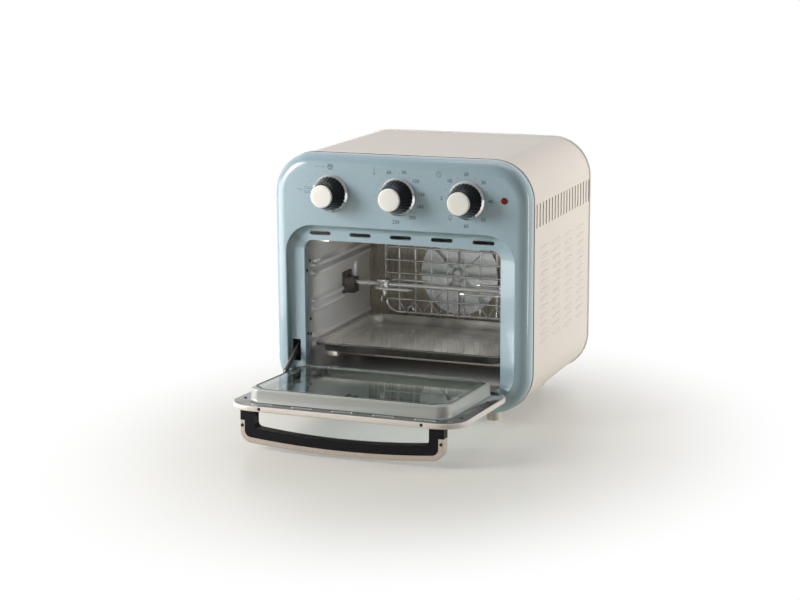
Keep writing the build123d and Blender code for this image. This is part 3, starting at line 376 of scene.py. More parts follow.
DIALS = (("function", Body.FUNCTION), ("thermostat", Body.THERMOSTAT), ("timer", Body.TIMER))
FRONT_BLUE = Finish("front_blue", srgb(156, 180, 189), roughness=0.3, mottle=0.008, relief=0.008, coat=0.5)
CASE_CREAM = Finish("case_cream", srgb(230, 221, 211), 0.42, mottle=0.006, relief=0.012, specular=0.3)
# The beads' cream is lighter than the cabinet's. The lighter colour is a painted highlight on the rolled
# edges; their lower roughness and coat are real gloss.
CASE_BEAD_PAINTED_HIGHLIGHT = Finish("case_edge", srgb(240, 234, 226), 0.22, mottle=0.01, coat=0.3)
# Dark finish of the seal round the inner pane, and of the wire behind the blue front that paints the shadow
# in the gap there.
DARK_SEAL_AND_GAP_SHADOW = Finish("seam_dark", srgb(48, 50, 52), 0.5, mottle=0.05)
FOOT_CREAM = Finish("foot_cream", srgb(228, 219, 206), 0.42, mottle=0.03, relief=0.04)
DOOR_CREAM = Finish("door_cream", srgb(226, 216, 207), 0.3, mottle=0.01, coat=0.2)
LINER = OvenSteel(
    "liner_steel", srgb(212, 188, 160), 0.4, 0.45, mottle=0.05, mottle_scale=60.0, grain=Grain.ALONG_Y
)
# The rear wall is the same liner steel as the other walls. Its much darker colour is painted shade, for the
# back of the cavity that light hardly reaches.
REAR_LINER_PAINTED_SHADE = OvenSteel(
    "rear_liner_steel", srgb(120, 114, 102), 0.28, 0.85, mottle=0.08, mottle_scale=70.0, grain=Grain.ALONG_Z
)
PLUG_SATIN = Finish("door_pan_satin", srgb(174, 176, 169), 0.34, 0.2, mottle=0.01, relief=0.01)
FLANGE_DARK = Finish("door_flange_dark", srgb(84, 90, 88), 0.24, 0.2, mottle=0.03, coat=0.2)
CHROME = Finish("bright_wire", srgb(228, 228, 226), 0.12, 1.0, mottle=0.03, mottle_scale=90.0)
KNOB_DARK = Finish("knob_dark_chrome", srgb(46, 42, 44), 0.12, 1.0, mottle=0.05, mottle_scale=60.0)
KNOB_RING = Finish("knob_ring_chrome", srgb(232, 230, 230), 0.07, 1.0, mottle=0.02)
KNOB_CAP = Finish("knob_cap_pale", srgb(244, 242, 234), 0.34, mottle=0.015, relief=0.03)
LAMP_RED = Finish("lamp_red", srgb(122, 2, 20), 0.25, mottle=0.08, specular=0.2, glow=0.06)
# The rim's pale pink is painted glow: the halo that the lit lamp throws round its lens.
LAMP_RIM_PAINTED_HALO = Finish("lamp_rim", srgb(190, 142, 148), 0.2, mottle=0.03, coat=0.4)
# The tray's dark enamel. Its strong mottle, drawn out front to back, paints the streaks of reflection that
# run over the tray's floor.
ENAMEL_PAINTED_STREAKS = Finish(
    "tray_enamel", srgb(80, 79, 74), 0.22, mottle=0.5, mottle_scale=34.0, relief=0.02, relief_scale=260.0,
    grain=Grain.ALONG_Y, coat=0.6,
)
# The tray's rolled edge is real; its bright metal colour over the dark enamel is a painted highlight.
TRAY_RIM_PAINTED_HIGHLIGHT = Finish("tray_edge", srgb(214, 208, 198), 0.2, 0.85, mottle=0.12, mottle_scale=120.0)
GRIP_BLACK = Finish("grip_black", srgb(20, 18, 22), 0.42, mottle=0.08, relief=0.02, specular=0.16)
CHAMPAGNE = Finish("champagne_strip", srgb(203, 189, 178), 0.3, 0.5, mottle=0.01, relief=0.01)
BLACK_STEEL = Finish("black_steel", srgb(44, 41, 38), 0.3, 0.6, mottle=0.1)
ARM_STEEL = Finish("arm_steel", srgb(112, 108, 103), 0.32, 0.8, mottle=0.06, grain=Grain.ALONG_Y)
HEATER = Finish(
    "heater_sheath", srgb(148, 142, 134), 0.42, 0.85, mottle=0.14, mottle_scale=45.0, relief=0.1,
    grain=Grain.ALONG_X,
)
CERAMIC = Finish("ceramic", srgb(232, 228, 216), 0.55, mottle=0.04, relief=0.08)
ZINC = Galvanised("zinc_sheet", srgb(176, 178, 177), 0.38, 0.85)
SCREW = Finish("screw_steel", srgb(128, 126, 122), 0.28, 1.0, mottle=0.06)
DARK_SCREW = Finish("screw_dark", srgb(58, 55, 53), 0.3, 0.9, mottle=0.08)
PLASTIC_BLACK = Finish("plastic_black", srgb(30, 30, 31), 0.46, mottle=0.06, relief=0.1, relief_scale=700.0)
BAKELITE = Finish("bakelite", srgb(72, 50, 38), 0.35, mottle=0.1)
BRASS = Finish("brass", srgb(196, 162, 96), 0.25, 1.0, mottle=0.05)
PRINT_INK = Finish("print_ink", srgb(72, 84, 98), 0.4, mottle=0.03)
GLASS = PaneGlass("door_glass", srgb(214, 222, 221), 0.0)


class Merged(Enum):
    """From what angle, in degrees, an edge of a node stays sharp."""

    SMOOTH = 28.0
    ROUND = 40.0


def settle(piece: bpy.types.Object, body: Body, slot: str, *nodes: str) -> None:
    """Puts a finished piece on its body and hides the nodes that it stands for.

    Args:
        piece: the finished object.
        body: the body that it rides on.
        slot: the record's slot of its finish; not used.
        nodes: the nodes that it replaces.
    """
    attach(piece, body.value)
    if nodes:
        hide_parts(*nodes)
    LOG.info("%s rides on %s with %d faces", piece.name, body.value, len(piece.data.polygons))


def linked(name: str, data: bpy.types.ID) -> bpy.types.Object:
    """Makes an object of some data and puts it in the scene.

    Args:
        name: the object's name.
        data: its mesh, curve, lamp or camera.

    Returns:
        The object.
    """
    made = bpy.data.objects.new(name, data)
    bpy.context.scene.collection.objects.link(made)
    return made


def link_mesh(name: str, mesh: bpy.types.Mesh, *finishes: Finish) -> bpy.types.Object:
    """Makes an object of a mesh and gives it its finishes.

    Args:
        name: the object's name.
        mesh: its mesh.
        finishes: its finishes, in the order of the mesh's material numbers.

    Returns:
        The object.
    """
    for finish in finishes:
        mesh.materials.append(finish.material())
    return linked(name, mesh)


def smooth_mesh(mesh: bpy.types.Mesh, degrees: float) -> None:
    """Shades a mesh smoothly and keeps its edges sharp past an angle.

    Args:
        mesh: the mesh.
        degrees: the angle between two faces from which their edge stays sharp.
    """
    mesh.shade_smooth()
    mesh.set_sharp_from_angle(angle=math.radians(degrees))


def weigh_normals(piece: bpy.types.Object) -> None:
    """Turns a piece's normals towards its large faces, so that flat areas stay flat beside roundings.

    Args:
        piece: the piece.
    """
    weighted = piece.modifiers.new("normals", "WEIGHTED_NORMAL")
    weighted.keep_sharp = True
    bake_modifiers(piece)


def bake_modifiers(piece: bpy.types.Object) -> None:
    """Applies all the modifiers of a piece and removes them.

    Args:
        piece: the piece.
    """
    graph = bpy.context.evaluated_depsgraph_get()
    graph.update()
    finished = bpy.data.meshes.new_from_object(piece.evaluated_get(graph))
    old = piece.data
    piece.modifiers.clear()
    piece.data = finished
    finished.name = piece.name
    bpy.data.meshes.remove(old)


def node_shape(node: str) -> bmesh.types.BMesh:
    """Copies a construction node, with its loose triangles joined.

    Args:
        node: the node.

    Returns:
        The copy.
    """
    shape = bmesh.new()
    shape.from_mesh(frame["nodes"][node].data)
    bmesh.ops.remove_doubles(shape, verts=shape.verts, dist=NODE_WELD)
    return shape


def freed(name: str, shape: bmesh.types.BMesh) -> bpy.types.Mesh:
    """Turns a shape into a mesh and frees the shape.

    Args:
        name: the mesh's name.
        shape: the shape.

    Returns:
        The mesh.
    """
    mesh = bpy.data.meshes.new(name)
    shape.to_mesh(mesh)
    shape.free()
    return mesh


def dress_node(
    node: str,
    finish: Finish,
    slot: str,
    body: Body = Body.OVEN,
    merged: Merged = Merged.SMOOTH,
    choose: Callable[[Vector], int] | None = None,
    others: Sequence[Finish] = (),
) -> None:
    """Shows a construction node as a merged, smoothly shaded copy.

    Args:
        node: the node.
        finish: its main finish.
        slot: the record's slot of that finish.
        body: the body that it rides on.
        merged: how sharp an edge must be to stay sharp.
        choose: gives a face's material number from its centre, in metres.
        others: further finishes, numbered from 1.
    """
    shape = node_shape(node)
    if choose:
        for face in shape.faces:
            face.material_index = choose(face.calc_center_median())
    mesh = freed(node + "_looks", shape)
    smooth_mesh(mesh, merged.value)
    piece = link_mesh(node + "_looks", mesh, finish, *others)
    weigh_normals(piece)
    settle(piece, body, slot, node)


@dataclass(frozen=True)
class Lamp:
    """One area lamp: its place and size in metres, its power in watts and what it points at.

    With glints off, gloss doesn't mirror it. With soft off, it lights gloss alone.
    """

    name: str
    place: Point
    size: tuple[float, float]
    watts: float
    aim: Point = (0.0, 0.0, 0.15)
    glints: bool = True
    soft: bool = True

    def hang(self) -> None:
        """Hangs the lamp, out of the camera's sight."""
        data = bpy.data.lights.new(self.name, "AREA")
        data.shape = "RECTANGLE"
        data.size, data.size_y = self.size
        data.energy = self.watts
        lamp = linked(self.name, data)
        lamp.location = self.place
        towards = Vector(self.aim) - Vector(self.place)
        lamp.rotation_euler = towards.to_track_quat("-Z", "Y").to_euler()
        lamp.visible_camera = False
        lamp.visible_glossy = self.glints
        lamp.visible_diffuse = self.soft


@dataclass
class Studio:
    """The camera, lamps, floor and backdrop, none of which is part of the oven."""

    eye: Point = (0.8092, -2.1200, 0.6077)
    yaw: float = 0.369802
    pitch: float = 0.204211
    roll: float = -0.005500
    focal_pixels: float = 1935.836
    picture_width: int = 800
    sensor: float = 36.0
    far_clip: float = 50.0
    floor_size: float = 9.0
    floor_colour: Colour = srgb(214, 211, 198)
    floor_roughness: float = 0.3
    floor_specular: float = 0.25
    floor_middle: tuple[float, float] = (0.05, -0.1)
    floor_squash: float = 0.8
    floor_lift: float = 0.26
    fade_span: tuple[float, float] = (0.16, 0.43)
    world_level: float = 0.32
    dim_level: float = 0.12
    dim_way: Point = (0.75, -0.66, 0.0)
    dim_span: tuple[float, float] = (-0.2, 0.8)
    room_level: float = 0.3
    room_span: tuple[float, float] = (-0.5, 0.2)
    lights: tuple[Lamp, ...] = (
        Lamp("key", (-0.8, -0.7, 0.55), (0.45, 0.45), 9.6, (0.0, -0.04, 0.2)),
        Lamp("top", (0.1, 0.4, 1.5), (1.0, 1.0), 4.1),
        Lamp("fill", (1.5, 0.9, 0.4), (1.0, 0.8), 18.0, glints=False),
        Lamp("left_panel", (-0.6, -0.3, 0.15), (0.66, 0.4), 3.6, (-0.16, -0.04, 0.2), soft=False),
        Lamp("right_strip", (0.66, 0.06, 0.2), (0.05, 0.4), 0.8, (0.16, -0.03, 0.2), soft=False),
        Lamp("oven_space", (0.01, 0.004, 0.1375), (0.22, 0.105), 0.85, (0.0, 0.1, 0.13), glints=False),
        Lamp("under_tray", (0.01, 0.004, 0.053), (0.22, 0.02), 0.15, (0.0, 0.1, 0.05), glints=False),
    )

    def build(self) -> None:
        """Makes everything around the oven."""
        self.camera()
        self.world()
        self.floor()
        for light in self.lights:
            light.hang()

    def camera(self) -> None:
        """Stands the camera where the photograph was taken from."""
        data = bpy.data.cameras.new("camera")
        data.sensor_width = self.sensor
        data.lens = self.focal_pixels / self.picture_width * self.sensor
        data.clip_end = self.far_clip
        camera = linked("camera", data)
        flat = math.cos(self.pitch)
        ahead = Vector((-math.sin(self.yaw) * flat, math.cos(self.yaw) * flat, -math.sin(self.pitch)))
        turn = ahead.to_track_quat("-Z", "Y") @ Matrix.Rotation(self.roll, 3, "Z").to_quaternion()
        camera.rotation_euler = turn.to_euler()
        camera.location = self.eye
        bpy.context.scene.camera = camera
        bpy.context.scene.view_settings.view_transform = "Standard"

    def world(self) -> None:
        """Makes a room that lights softly, and less from the right front.

        Sight and glass find it white. Gloss finds it white behind the oven and darker in front.
        """
        world = bpy.data.worlds.new("studio")
        bpy.context.scene.world = world
        world.use_nodes = True
        sheet = NodeSheet(world.node_tree)
        where = sheet.add("ShaderNodeTexCoord").outputs["Generated"]
        depth = sheet.add("ShaderNodeSeparateXYZ", Vector=where).outputs["Y"]
        across = sheet.out("ShaderNodeVectorMath", {"operation": "DOT_PRODUCT"}, where, self.dim_way)
        room = sheet.out("ShaderNodeMapRange", SMOOTH, depth, *self.room_span, self.room_level, 1.0)
        levels = (self.world_level, self.dim_level)
        level = sheet.out("ShaderNodeMapRange", SMOOTH, across, *self.dim_span, *levels)
        rays = sheet.add("ShaderNodeLightPath")
        seen = self.any_ray(sheet, rays, "Is Camera Ray", "Is Transmission Ray")
        for factor, other in ((rays.outputs["Is Glossy Ray"], room), (seen, 1.0)):
            level = sheet.out("ShaderNodeMix", {"data_type": "FLOAT"}, factor, level, other)
        sheet.fill(world.node_tree.nodes["Background"], Color=WHITE, Strength=level)

    @staticmethod
    def any_ray(sheet: NodeSheet, rays: bpy.types.Node, *kinds: str) -> Socket:
        """Tells whether a ray is of any of the named kinds.

        Args:
            sheet: the tree.
            rays: its Light Path node.
            kinds: the names of the node's outputs.

        Returns:
            The result, 0 or 1.
        """
        total = rays.outputs[kinds[0]]
        for kind in kinds[1:]:
            total = sheet.out("ShaderNodeMath", {"operation": "MAXIMUM"}, total, rays.outputs[kind])
        return total

    def floor(self) -> None:
        """Lays the floor."""
        mesh = bpy.data.meshes.new("floor")
        half = self.floor_size / 2
        corners = [(-half, -half, 0.0), (half, -half, 0.0), (half, half, 0.0), (-half, half, 0.0)]
        mesh.from_pydata(corners, [], [(0, 1, 2, 3)])
        mesh.materials.append(self.floor_material())
        linked("floor", mesh)

    def floor_material(self) -> bpy.types.Material:
        """Makes the floor's finish: pale with a soft gloss near the oven, plain white further out.

        Returns:
            The material.
        """
        made = bpy.data.materials.new("floor_finish")
        made.use_nodes = True
        sheet = NodeSheet(made.node_tree)
        shader = made.node_tree.nodes["Principled BSDF"]
        sheet.fill(shader, Base_Color=rgba(self.floor_colour), Roughness=self.floor_roughness)
        sheet.fill(shader, Specular_IOR_Level=self.floor_specular)
        middle = (-self.floor_middle[0], -self.floor_squash * self.floor_middle[1], 0.0)
        squash = (1.0, self.floor_squash, 1.0)
        centred = sheet.out("ShaderNodeMapping", Vector=sheet.where(), Location=middle, Scale=squash)
        away = sheet.out("ShaderNodeVectorMath", {"operation": "LENGTH"}, centred)
        fade = sheet.out("ShaderNodeMapRange", SMOOTH, away, *self.fade_span, self.floor_lift, 1.0)
        rays = sheet.add("ShaderNodeLightPath")
        seen = self.any_ray(sheet, rays, "Is Camera Ray", "Is Glossy Ray", "Is Transmission Ray")
        both = sheet.out("ShaderNodeMath", {"operation": "MULTIPLY"}, fade, seen)
        white = sheet.out("ShaderNodeEmission", Color=WHITE, Strength=1.0)
        mix = sheet.out("ShaderNodeMixShader", None, both, shader.outputs["BSDF"], white)
        sheet.fill(made.node_tree.nodes["Material Output"], Surface=mix)
        return made


def mesh_of(name: str, shape: bmesh.types.BMesh, degrees: float = 30.0) -> bpy.types.Mesh:
    """Closes off a shape: merges its doubles, turns its faces outwards and shades it.

    Args:
        name: the mesh's name.
        shape: the shape, which is freed.
        degrees: the angle from which an edge stays sharp.

    Returns:
        The finished mesh.
    """
    bmesh.ops.remove_doubles(shape, verts=shape.verts, dist=WELD)
    bmesh.ops.recalc_face_normals(shape, faces=shape.faces)
    mesh = freed(name, shape)
    smooth_mesh(mesh, degrees)
    return mesh


def bridge(shape: bmesh.types.BMesh, first: Ring, second: Ring, closed: bool = True) -> None:
    """Joins two rows of vertices, or a row and a pole, with faces.

    Args:
        shape: the shape that holds them.
        first: a row of vertices, or a single one.
        second: a row as long as the first, or a single vertex.
        closed: whether each row's end joins its start.
    """
    count = max(len(first), len(second))
    for number in range(count if closed else count - 1):
        after = (number + 1) % count
        corners = [first[number % len(first)], first[after % len(first)]]
        corners += [second[after % len(second)], second[number % len(second)]]
        unique = list(dict.fromkeys(corners))
        if len(unique) > 2:
            shape.faces.new(unique)


def lathe(
    profile: Outline,
    steps: int,
    place: Callable[[float, float, float], Vector],
    ripple: Callable[[float, float], float] = lambda angle, along: 0.0,
) -> bmesh.types.BMesh:
    """Turns a profile about an axis.

    Args:
        profile: points of radius and distance along the axis; a radius of 0 makes a pole.
        steps: how many steps go round.
        place: takes across, along and up, in millimetres, to a point in metres.
        ripple: gives how much the radius shrinks at an angle and a distance along the axis.

    Returns:
        The turned shape.
    """
    shape = bmesh.new()
    rings = []
    for radius, along in profile:
        if radius < WELD:
            rings.append([shape.verts.new(place(0.0, along, 0.0))])
            continue
        ring = []
        for step in range(steps):
            angle = math.tau * step / steps
            reach = radius - ripple(angle, along)
            ring.append(shape.verts.new(place(reach * math.cos(angle), along, reach * math.sin(angle))))
        rings.append(ring)
    for first, second in zip(rings, rings[1:]):
        bridge(shape, first, second)
    return shape


def ease(value: float, low: float, high: float) -> float:
    """Gives a smooth step from 0 at low to 1 at high."""
    part = min(1.0, max(0.0, (value - low) / (high - low)))
    return part * part * (3 - 2 * part)


class Recipe:
    """A Geometry Nodes tree with named sizes, which turns a carrier mesh into a finished piece."""

    def __init__(self, name: str) -> None:
        """Starts the tree with one geometry input and one output.

        Args:
            name: the tree's name.
        """
        self.tree = bpy.data.node_groups.new(name, "GeometryNodeTree")
        self.sheet = NodeSheet(self.tree)
        for way in ("INPUT", "OUTPUT"):
            self.tree.interface.new_socket("Geometry", in_out=way, socket_type="NodeSocketGeometry")
        self.given = self.sheet.add("NodeGroupInput")
        self.settings: dict[str, object] = {}

    @property
    def carrier(self) -> Socket:
        """The carrier's geometry."""
        return self.given.outputs["Geometry"]

    def size(self, name: str, value: object, kind: str = "NodeSocketFloat") -> Socket:
        """Adds a named input and remembers its value.

        Args:
            name: the input's name.
            value: what the modifier sets it to.
            kind: the socket's type.

        Returns:
            The input's socket inside the tree.
        """
        socket = self.tree.interface.new_socket(name, in_out="INPUT", socket_type=kind)
        self.settings[socket.identifier] = value
        return self.given.outputs[name]

    def bake(self, name: str, carrier: bpy.types.Mesh, shape: Socket, finish: Finish) -> bpy.types.Object:
        """Ends the tree, runs it on a carrier and keeps the plain mesh that comes out.

        Args:
            name: the finished piece's name.
            carrier: the mesh that the tree reads.
            shape: the tree's last geometry.
            finish: the piece's finish.

        Returns:
            The piece, with no modifier left.
        """
        loose = self.sheet.out("GeometryNodeRealizeInstances", Geometry=shape)
        painted = self.sheet.out("GeometryNodeSetMaterial", Geometry=loose, Material=finish.material())
        self.sheet.add("NodeGroupOutput", Geometry=painted)
        piece = linked(name, carrier)
        modifier = piece.modifiers.new("recipe", "NODES")
        modifier.node_group = self.tree
        for identifier, value in self.settings.items():
            modifier[identifier] = value
        bake_modifiers(piece)
        return piece


def point_mesh(
    name: str, *lines: Sequence[Vector], joined: bool = False, closed: bool = False
) -> bpy.types.Mesh:
    """Makes a mesh of bare points, or of points joined in lines.

    Args:
        name: the mesh's name.
        lines: one or more rows of points, in metres.
        joined: whether each point of a row is joined to the next.
        closed: whether the last of a row is joined to the first.

    Returns:
        The mesh.
    """
    places, edges = [], []
    for line in lines:
        start, end = len(places), len(places) + len(line) - 1
        places += [tuple(point) for point in line]
        if joined:
            edges += [(number, number + 1) for number in range(start, end)]
        if closed:
            edges.append((end, start))
    mesh = bpy.data.meshes.new(name)
    mesh.from_pydata(places, edges, [])
    return mesh


def wire(
    name: str, radius: float, finish: Finish, *lines: Sequence[Vector], closed: bool = False, sides: int = 10
) -> bpy.types.Object:
    """Draws a round wire or bead along one or more lines of points.

    Args:
        name: the piece's name.
        radius: the wire's radius, in millimetres.
        finish: its finish.
        lines: the points of each line, in metres.
        closed: whether each line is a loop.
        sides: how many sides its section has.

    Returns:
        The piece.
    """
    recipe = Recipe(name + "_recipe")
    sheet = recipe.sheet
    curve = sheet.out("GeometryNodeMeshToCurve", Mesh=recipe.carrier)
    thick = recipe.size("Radius", radius * MM)
    around = recipe.size("Sides", sides, "NodeSocketInt")
    section = sheet.out("GeometryNodeCurvePrimitiveCircle", Radius=thick, Resolution=around)
    tube = sheet.out("GeometryNodeCurveToMesh", Curve=curve, Profile_Curve=section, Fill_Caps=True)
    smooth = sheet.out("GeometryNodeSetShadeSmooth", Geometry=tube)
    return recipe.bake(name, point_mesh(name, *lines, joined=True, closed=closed), smooth, finish)


def arc(centre: tuple[float, float], radius: float, start: float, end: float, steps: int) -> Outline:
    """Gives points of an arc.

    Args:
        centre: its centre.
        radius: its radius.
        start: the first angle, in degrees.
        end: the last angle, in degrees.
        steps: how many steps it has.

    Returns:
        The points, both ends included.
    """
    turns = [math.radians(start + (end - start) * step / steps) for step in range(steps + 1)]
    return [(centre[0] + radius * math.cos(turn), centre[1] + radius * math.sin(turn)) for turn in turns]


def circle(centre: tuple[float, float], radius: float, count: int = 24) -> Outline:
    """Gives points of a full circle, without a repeated first one."""
    return arc(centre, radius, 0.0, 360.0 - 360.0 / count, count - 1)


def rounded(low: Vector, high: Vector, radius: float, steps: int = 8) -> Outline:
    """Gives the outline of a rectangle with equal corners.

    Args:
        low: its lowest corner.
        high: its highest corner.
        radius: the corners' radius.
        steps: how many steps a corner has; 1 cuts it straight.

    Returns:
        The points, without a repeated first one.
    """
    points = []
    middle = (low + high) / 2
    corners = ((high.x, high.y), (low.x, high.y), (low.x, low.y), (high.x, low.y))
    for number, (x, y) in enumerate(corners):
        centre = (x - math.copysign(radius, x - middle.x), y - math.copysign(radius, y - middle.y))
        points += arc(centre, radius, 90.0 * number, 90.0 * (number + 1), steps)
    return points


def span(points: Sequence[Vector]) -> tuple[Vector, Vector]:
    """Gives the lowest and the highest corner of the box round some points."""
    return tuple(Vector([pick(point[axis] for point in points) for axis in range(3)]) for pick in (min, max))


def islands(node: str) -> list[Vector]:
    """Finds the separate solids of a node.

    Args:
        node: the node.

    Returns:
        The centre of each solid's box, in metres.
    """
    shape = node_shape(node)
    left = set(shape.verts)
    found = []
    while left:
        reached = [left.pop()]
        for vertex in reached:
            near = {edge.other_vert(vertex) for edge in vertex.link_edges} & left
            left -= near
            reached.extend(near)
        low, high = span([vertex.co for vertex in reached])
        found.append((low + high) / 2)
    shape.free()
    return sorted(found, key=lambda centre: tuple(round(part, 5) for part in centre))


@dataclass
class ScrewHeads:
    """Pan heads with a cross recess, one on each solid of a node of screws.

    Radius and height are in millimetres; the other sizes are parts of them.
    """

    radius: float = 3.4
    height: float = 1.6
    section: tuple[tuple[float, float], ...] = (
        (1.0, 0.0), (1.0, 0.45), (0.94, 0.72), (0.8, 0.92), (0.7, 1.0),
    )
    arm: float = 0.62
    arm_width: float = 0.16
    recess: float = 0.55
    recess_taper: float = 0.7

    def head(self) -> bpy.types.Object:
        """Makes one head of unit radius and unit height, with its base at 0.

        Returns:
            The head.
        """
        shape = bmesh.new()
        rings = []
        for reach, rise in self.section:
            rings.append([shape.verts.new((x, y, rise)) for x, y in circle((0.0, 0.0), reach)])
        for first, second in zip(rings, rings[1:]):
            bridge(shape, first, second)
        half, tip = self.arm_width, self.arm
        quarter = [(half, half), (half, tip), (-half, tip)]
        turns = [math.radians(degrees) for degrees in (0.0, 90.0, 180.0, 270.0)]
        plus = [(x * math.cos(turn) - y * math.sin(turn), x * math.sin(turn) + y * math.cos(turn))
                for turn in turns for x, y in quarter]
        mouth = [shape.verts.new((x, y, 1.0)) for x, y in plus]
        taper = self.recess_taper
        bottom = [shape.verts.new((x * taper, y * taper, 1.0 - self.recess)) for x, y in plus]
        bridge(shape, mouth, bottom)
        shape.faces.new(bottom)
        shape.faces.new(rings[0])
        edges = []
        for ring in (rings[-1], mouth):
            for pair in zip(ring, ring[1:] + ring[:1]):
                edges.append(shape.edges.get(pair) or shape.edges.new(pair))
        bmesh.ops.triangle_fill(shape, edges=edges, use_beauty=True)
        return linked("screw_head", mesh_of("screw_head", shape, 35.0))

    def build(
        self, node: str, body: Body, slot: str, finish: Finish, facing: Callable[[Vector], Vector]
    ) -> None:
        """Replaces a node of plain heads.

        Args:
            node: the node.
            body: the body that it rides on.
            slot: the record's slot of its finish.
            finish: the heads' finish.
            facing: gives the way that a head at a point faces.
        """
        centres = islands(node)
        ways = [facing(centre).normalized() for centre in centres]
        feet = [centre - way * self.height * MM / 2 for centre, way in zip(centres, ways)]
        carrier = point_mesh(node + "_heads", feet)
        attribute = carrier.attributes.new("facing", "FLOAT_VECTOR", "POINT")
        for number, way in enumerate(ways):
            attribute.data[number].vector = way
        head = self.head()
        recipe = Recipe(node + "_recipe")
        sheet = recipe.sheet
        shown = sheet.add("GeometryNodeObjectInfo", Object=recipe.size("Head", head, "NodeSocketObject"))
        named = sheet.out("GeometryNodeInputNamedAttribute", {"data_type": "FLOAT_VECTOR"}, Name="facing")
        turned = sheet.out("FunctionNodeAlignRotationToVector", {"axis": "Z"}, Vector=named)
        placed = sheet.add("GeometryNodeInstanceOnPoints", Points=recipe.carrier, Rotation=turned)
        size = (self.radius * MM, self.radius * MM, self.height * MM)
        scale = recipe.size("Size", size, "NodeSocketVector")
        sheet.fill(placed, Instance=shown.outputs["Geometry"], Scale=scale)
        piece = recipe.bake(node + "_heads", carrier, placed.outputs["Instances"], finish)
        bpy.data.objects.remove(head)
        settle(piece, body, slot, node)


@dataclass
class Knob:
    """One control knob: a chrome skirt, a fluted dark body and a pale cap. Sizes are in millimetres."""

    name: str
    body: Body
    flutes: int = 26
    flute_depth: float = 0.5
    flute_steps: int = 208
    plain_steps: int = 96
    collar: float = 3.6
    collar_rise: float = 1.3
    nose_inset: float = 6.2
    foot_inset: float = 0.3
    cap_inset: float = 0.4
    skirt_edge: tuple[tuple[float, float], ...] = ((0.4, 0.0), (0.0, 0.3), (0.0, 0.6), (0.3, 0.95))
    taper_from: float = 1.0
    taper_short: float = 2.6
    taper_steps: int = 12
    flutes_end: float = 0.9
    flute_power: float = 1.5
    nose_edge: tuple[tuple[float, float], ...] = ((0.25, 0.8), (0.8, 0.2), (1.4, 0.0))
    cap_edge: tuple[tuple[float, float], ...] = ((0.0, 1.1), (0.25, 0.6), (0.8, 0.32))
    dome_parts: tuple[float, ...] = (0.9, 0.7, 0.45, 0.2)
    dome_drop: float = 0.25

    def placed(self, node: str) -> tuple[Callable[[float, float, float], Vector], float, float]:
        """Reads where a node of the knob is.

        Args:
            node: the node.

        Returns:
            A function that places a turned point, the radius and the length in millimetres.
        """
        low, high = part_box(node)
        middle = (low + high) / 2

        def place(across: float, along: float, up: float) -> Vector:
            """Places a point that is measured forwards from the node's rear plane."""
            return Vector((middle.x + across * MM, high.y - along * MM, middle.z + up * MM))

        return place, (high.x - low.x) / 2 / MM, (high.y - low.y) / MM

    def build(self) -> None:
        """Makes the three turned pieces."""
        self.skirt()
        self.grip()
        self.cap()

    def turned(self, node: str, shape: bmesh.types.BMesh, finish: Finish, slot: str, degrees: float) -> None:
        """Turns a lathed shape into the piece that replaces a node."""
        settle(link_mesh(node + "_turned", mesh_of(node, shape, degrees), finish), self.body, slot, node)

    def skirt(self) -> None:
        """Makes the polished ring under the knob."""
        node = f"{self.name}_knob_skirt"
        place, radius, length = self.placed(node)
        profile = [(0.0, 0.0), *((radius - inset, along) for inset, along in self.skirt_edge)]
        profile += [(radius - self.collar, length + self.collar_rise), (0.0, length + self.collar_rise)]
        self.turned(node, lathe(profile, self.plain_steps, place), KNOB_RING, "chrome", 32.0)

    def grip(self) -> None:
        """Makes the tapered body with its flutes."""
        node = f"{self.name}_knob"
        place, radius, length = self.placed(node)
        nose = radius - self.nose_inset
        foot = radius - self.foot_inset
        tapered = length - self.taper_short
        profile = [(0.0, 0.0), (foot, 0.0)]
        for step in range(self.taper_steps + 1):
            part = step / self.taper_steps
            profile.append((foot - (foot - nose) * part, self.taper_from + tapered * part))
        profile += [(nose - inset, length - back) for inset, back in self.nose_edge] + [(0.0, length)]

        def ripple(angle: float, along: float) -> float:
            """Gives a flute's depth, which fades out towards the nose."""
            fade = 1 - ease(along, tapered, length - self.flutes_end)
            return self.flute_depth * fade * (0.5 - 0.5 * math.cos(self.flutes * angle)) ** self.flute_power

        self.turned(node, lathe(profile, self.flute_steps, place, ripple), KNOB_DARK, "dark_chrome", 40.0)

    def cap(self) -> None:
        """Makes the pale front cap, with a soft edge and a barely domed face."""
        node = f"{self.name}_knob_cap"
        place, radius, length = self.placed(node)
        radius -= self.cap_inset
        profile = [(0.0, 0.0), (radius, 0.0)]
        profile += [(radius - inset, length - back) for inset, back in self.cap_edge]
        profile += [(radius * part, length - self.dome_drop * part * part) for part in self.dome_parts]
        profile.append((0.0, length))
        self.turned(node, lathe(profile, self.plain_steps, place), KNOB_CAP, "knob_cap", 50.0)


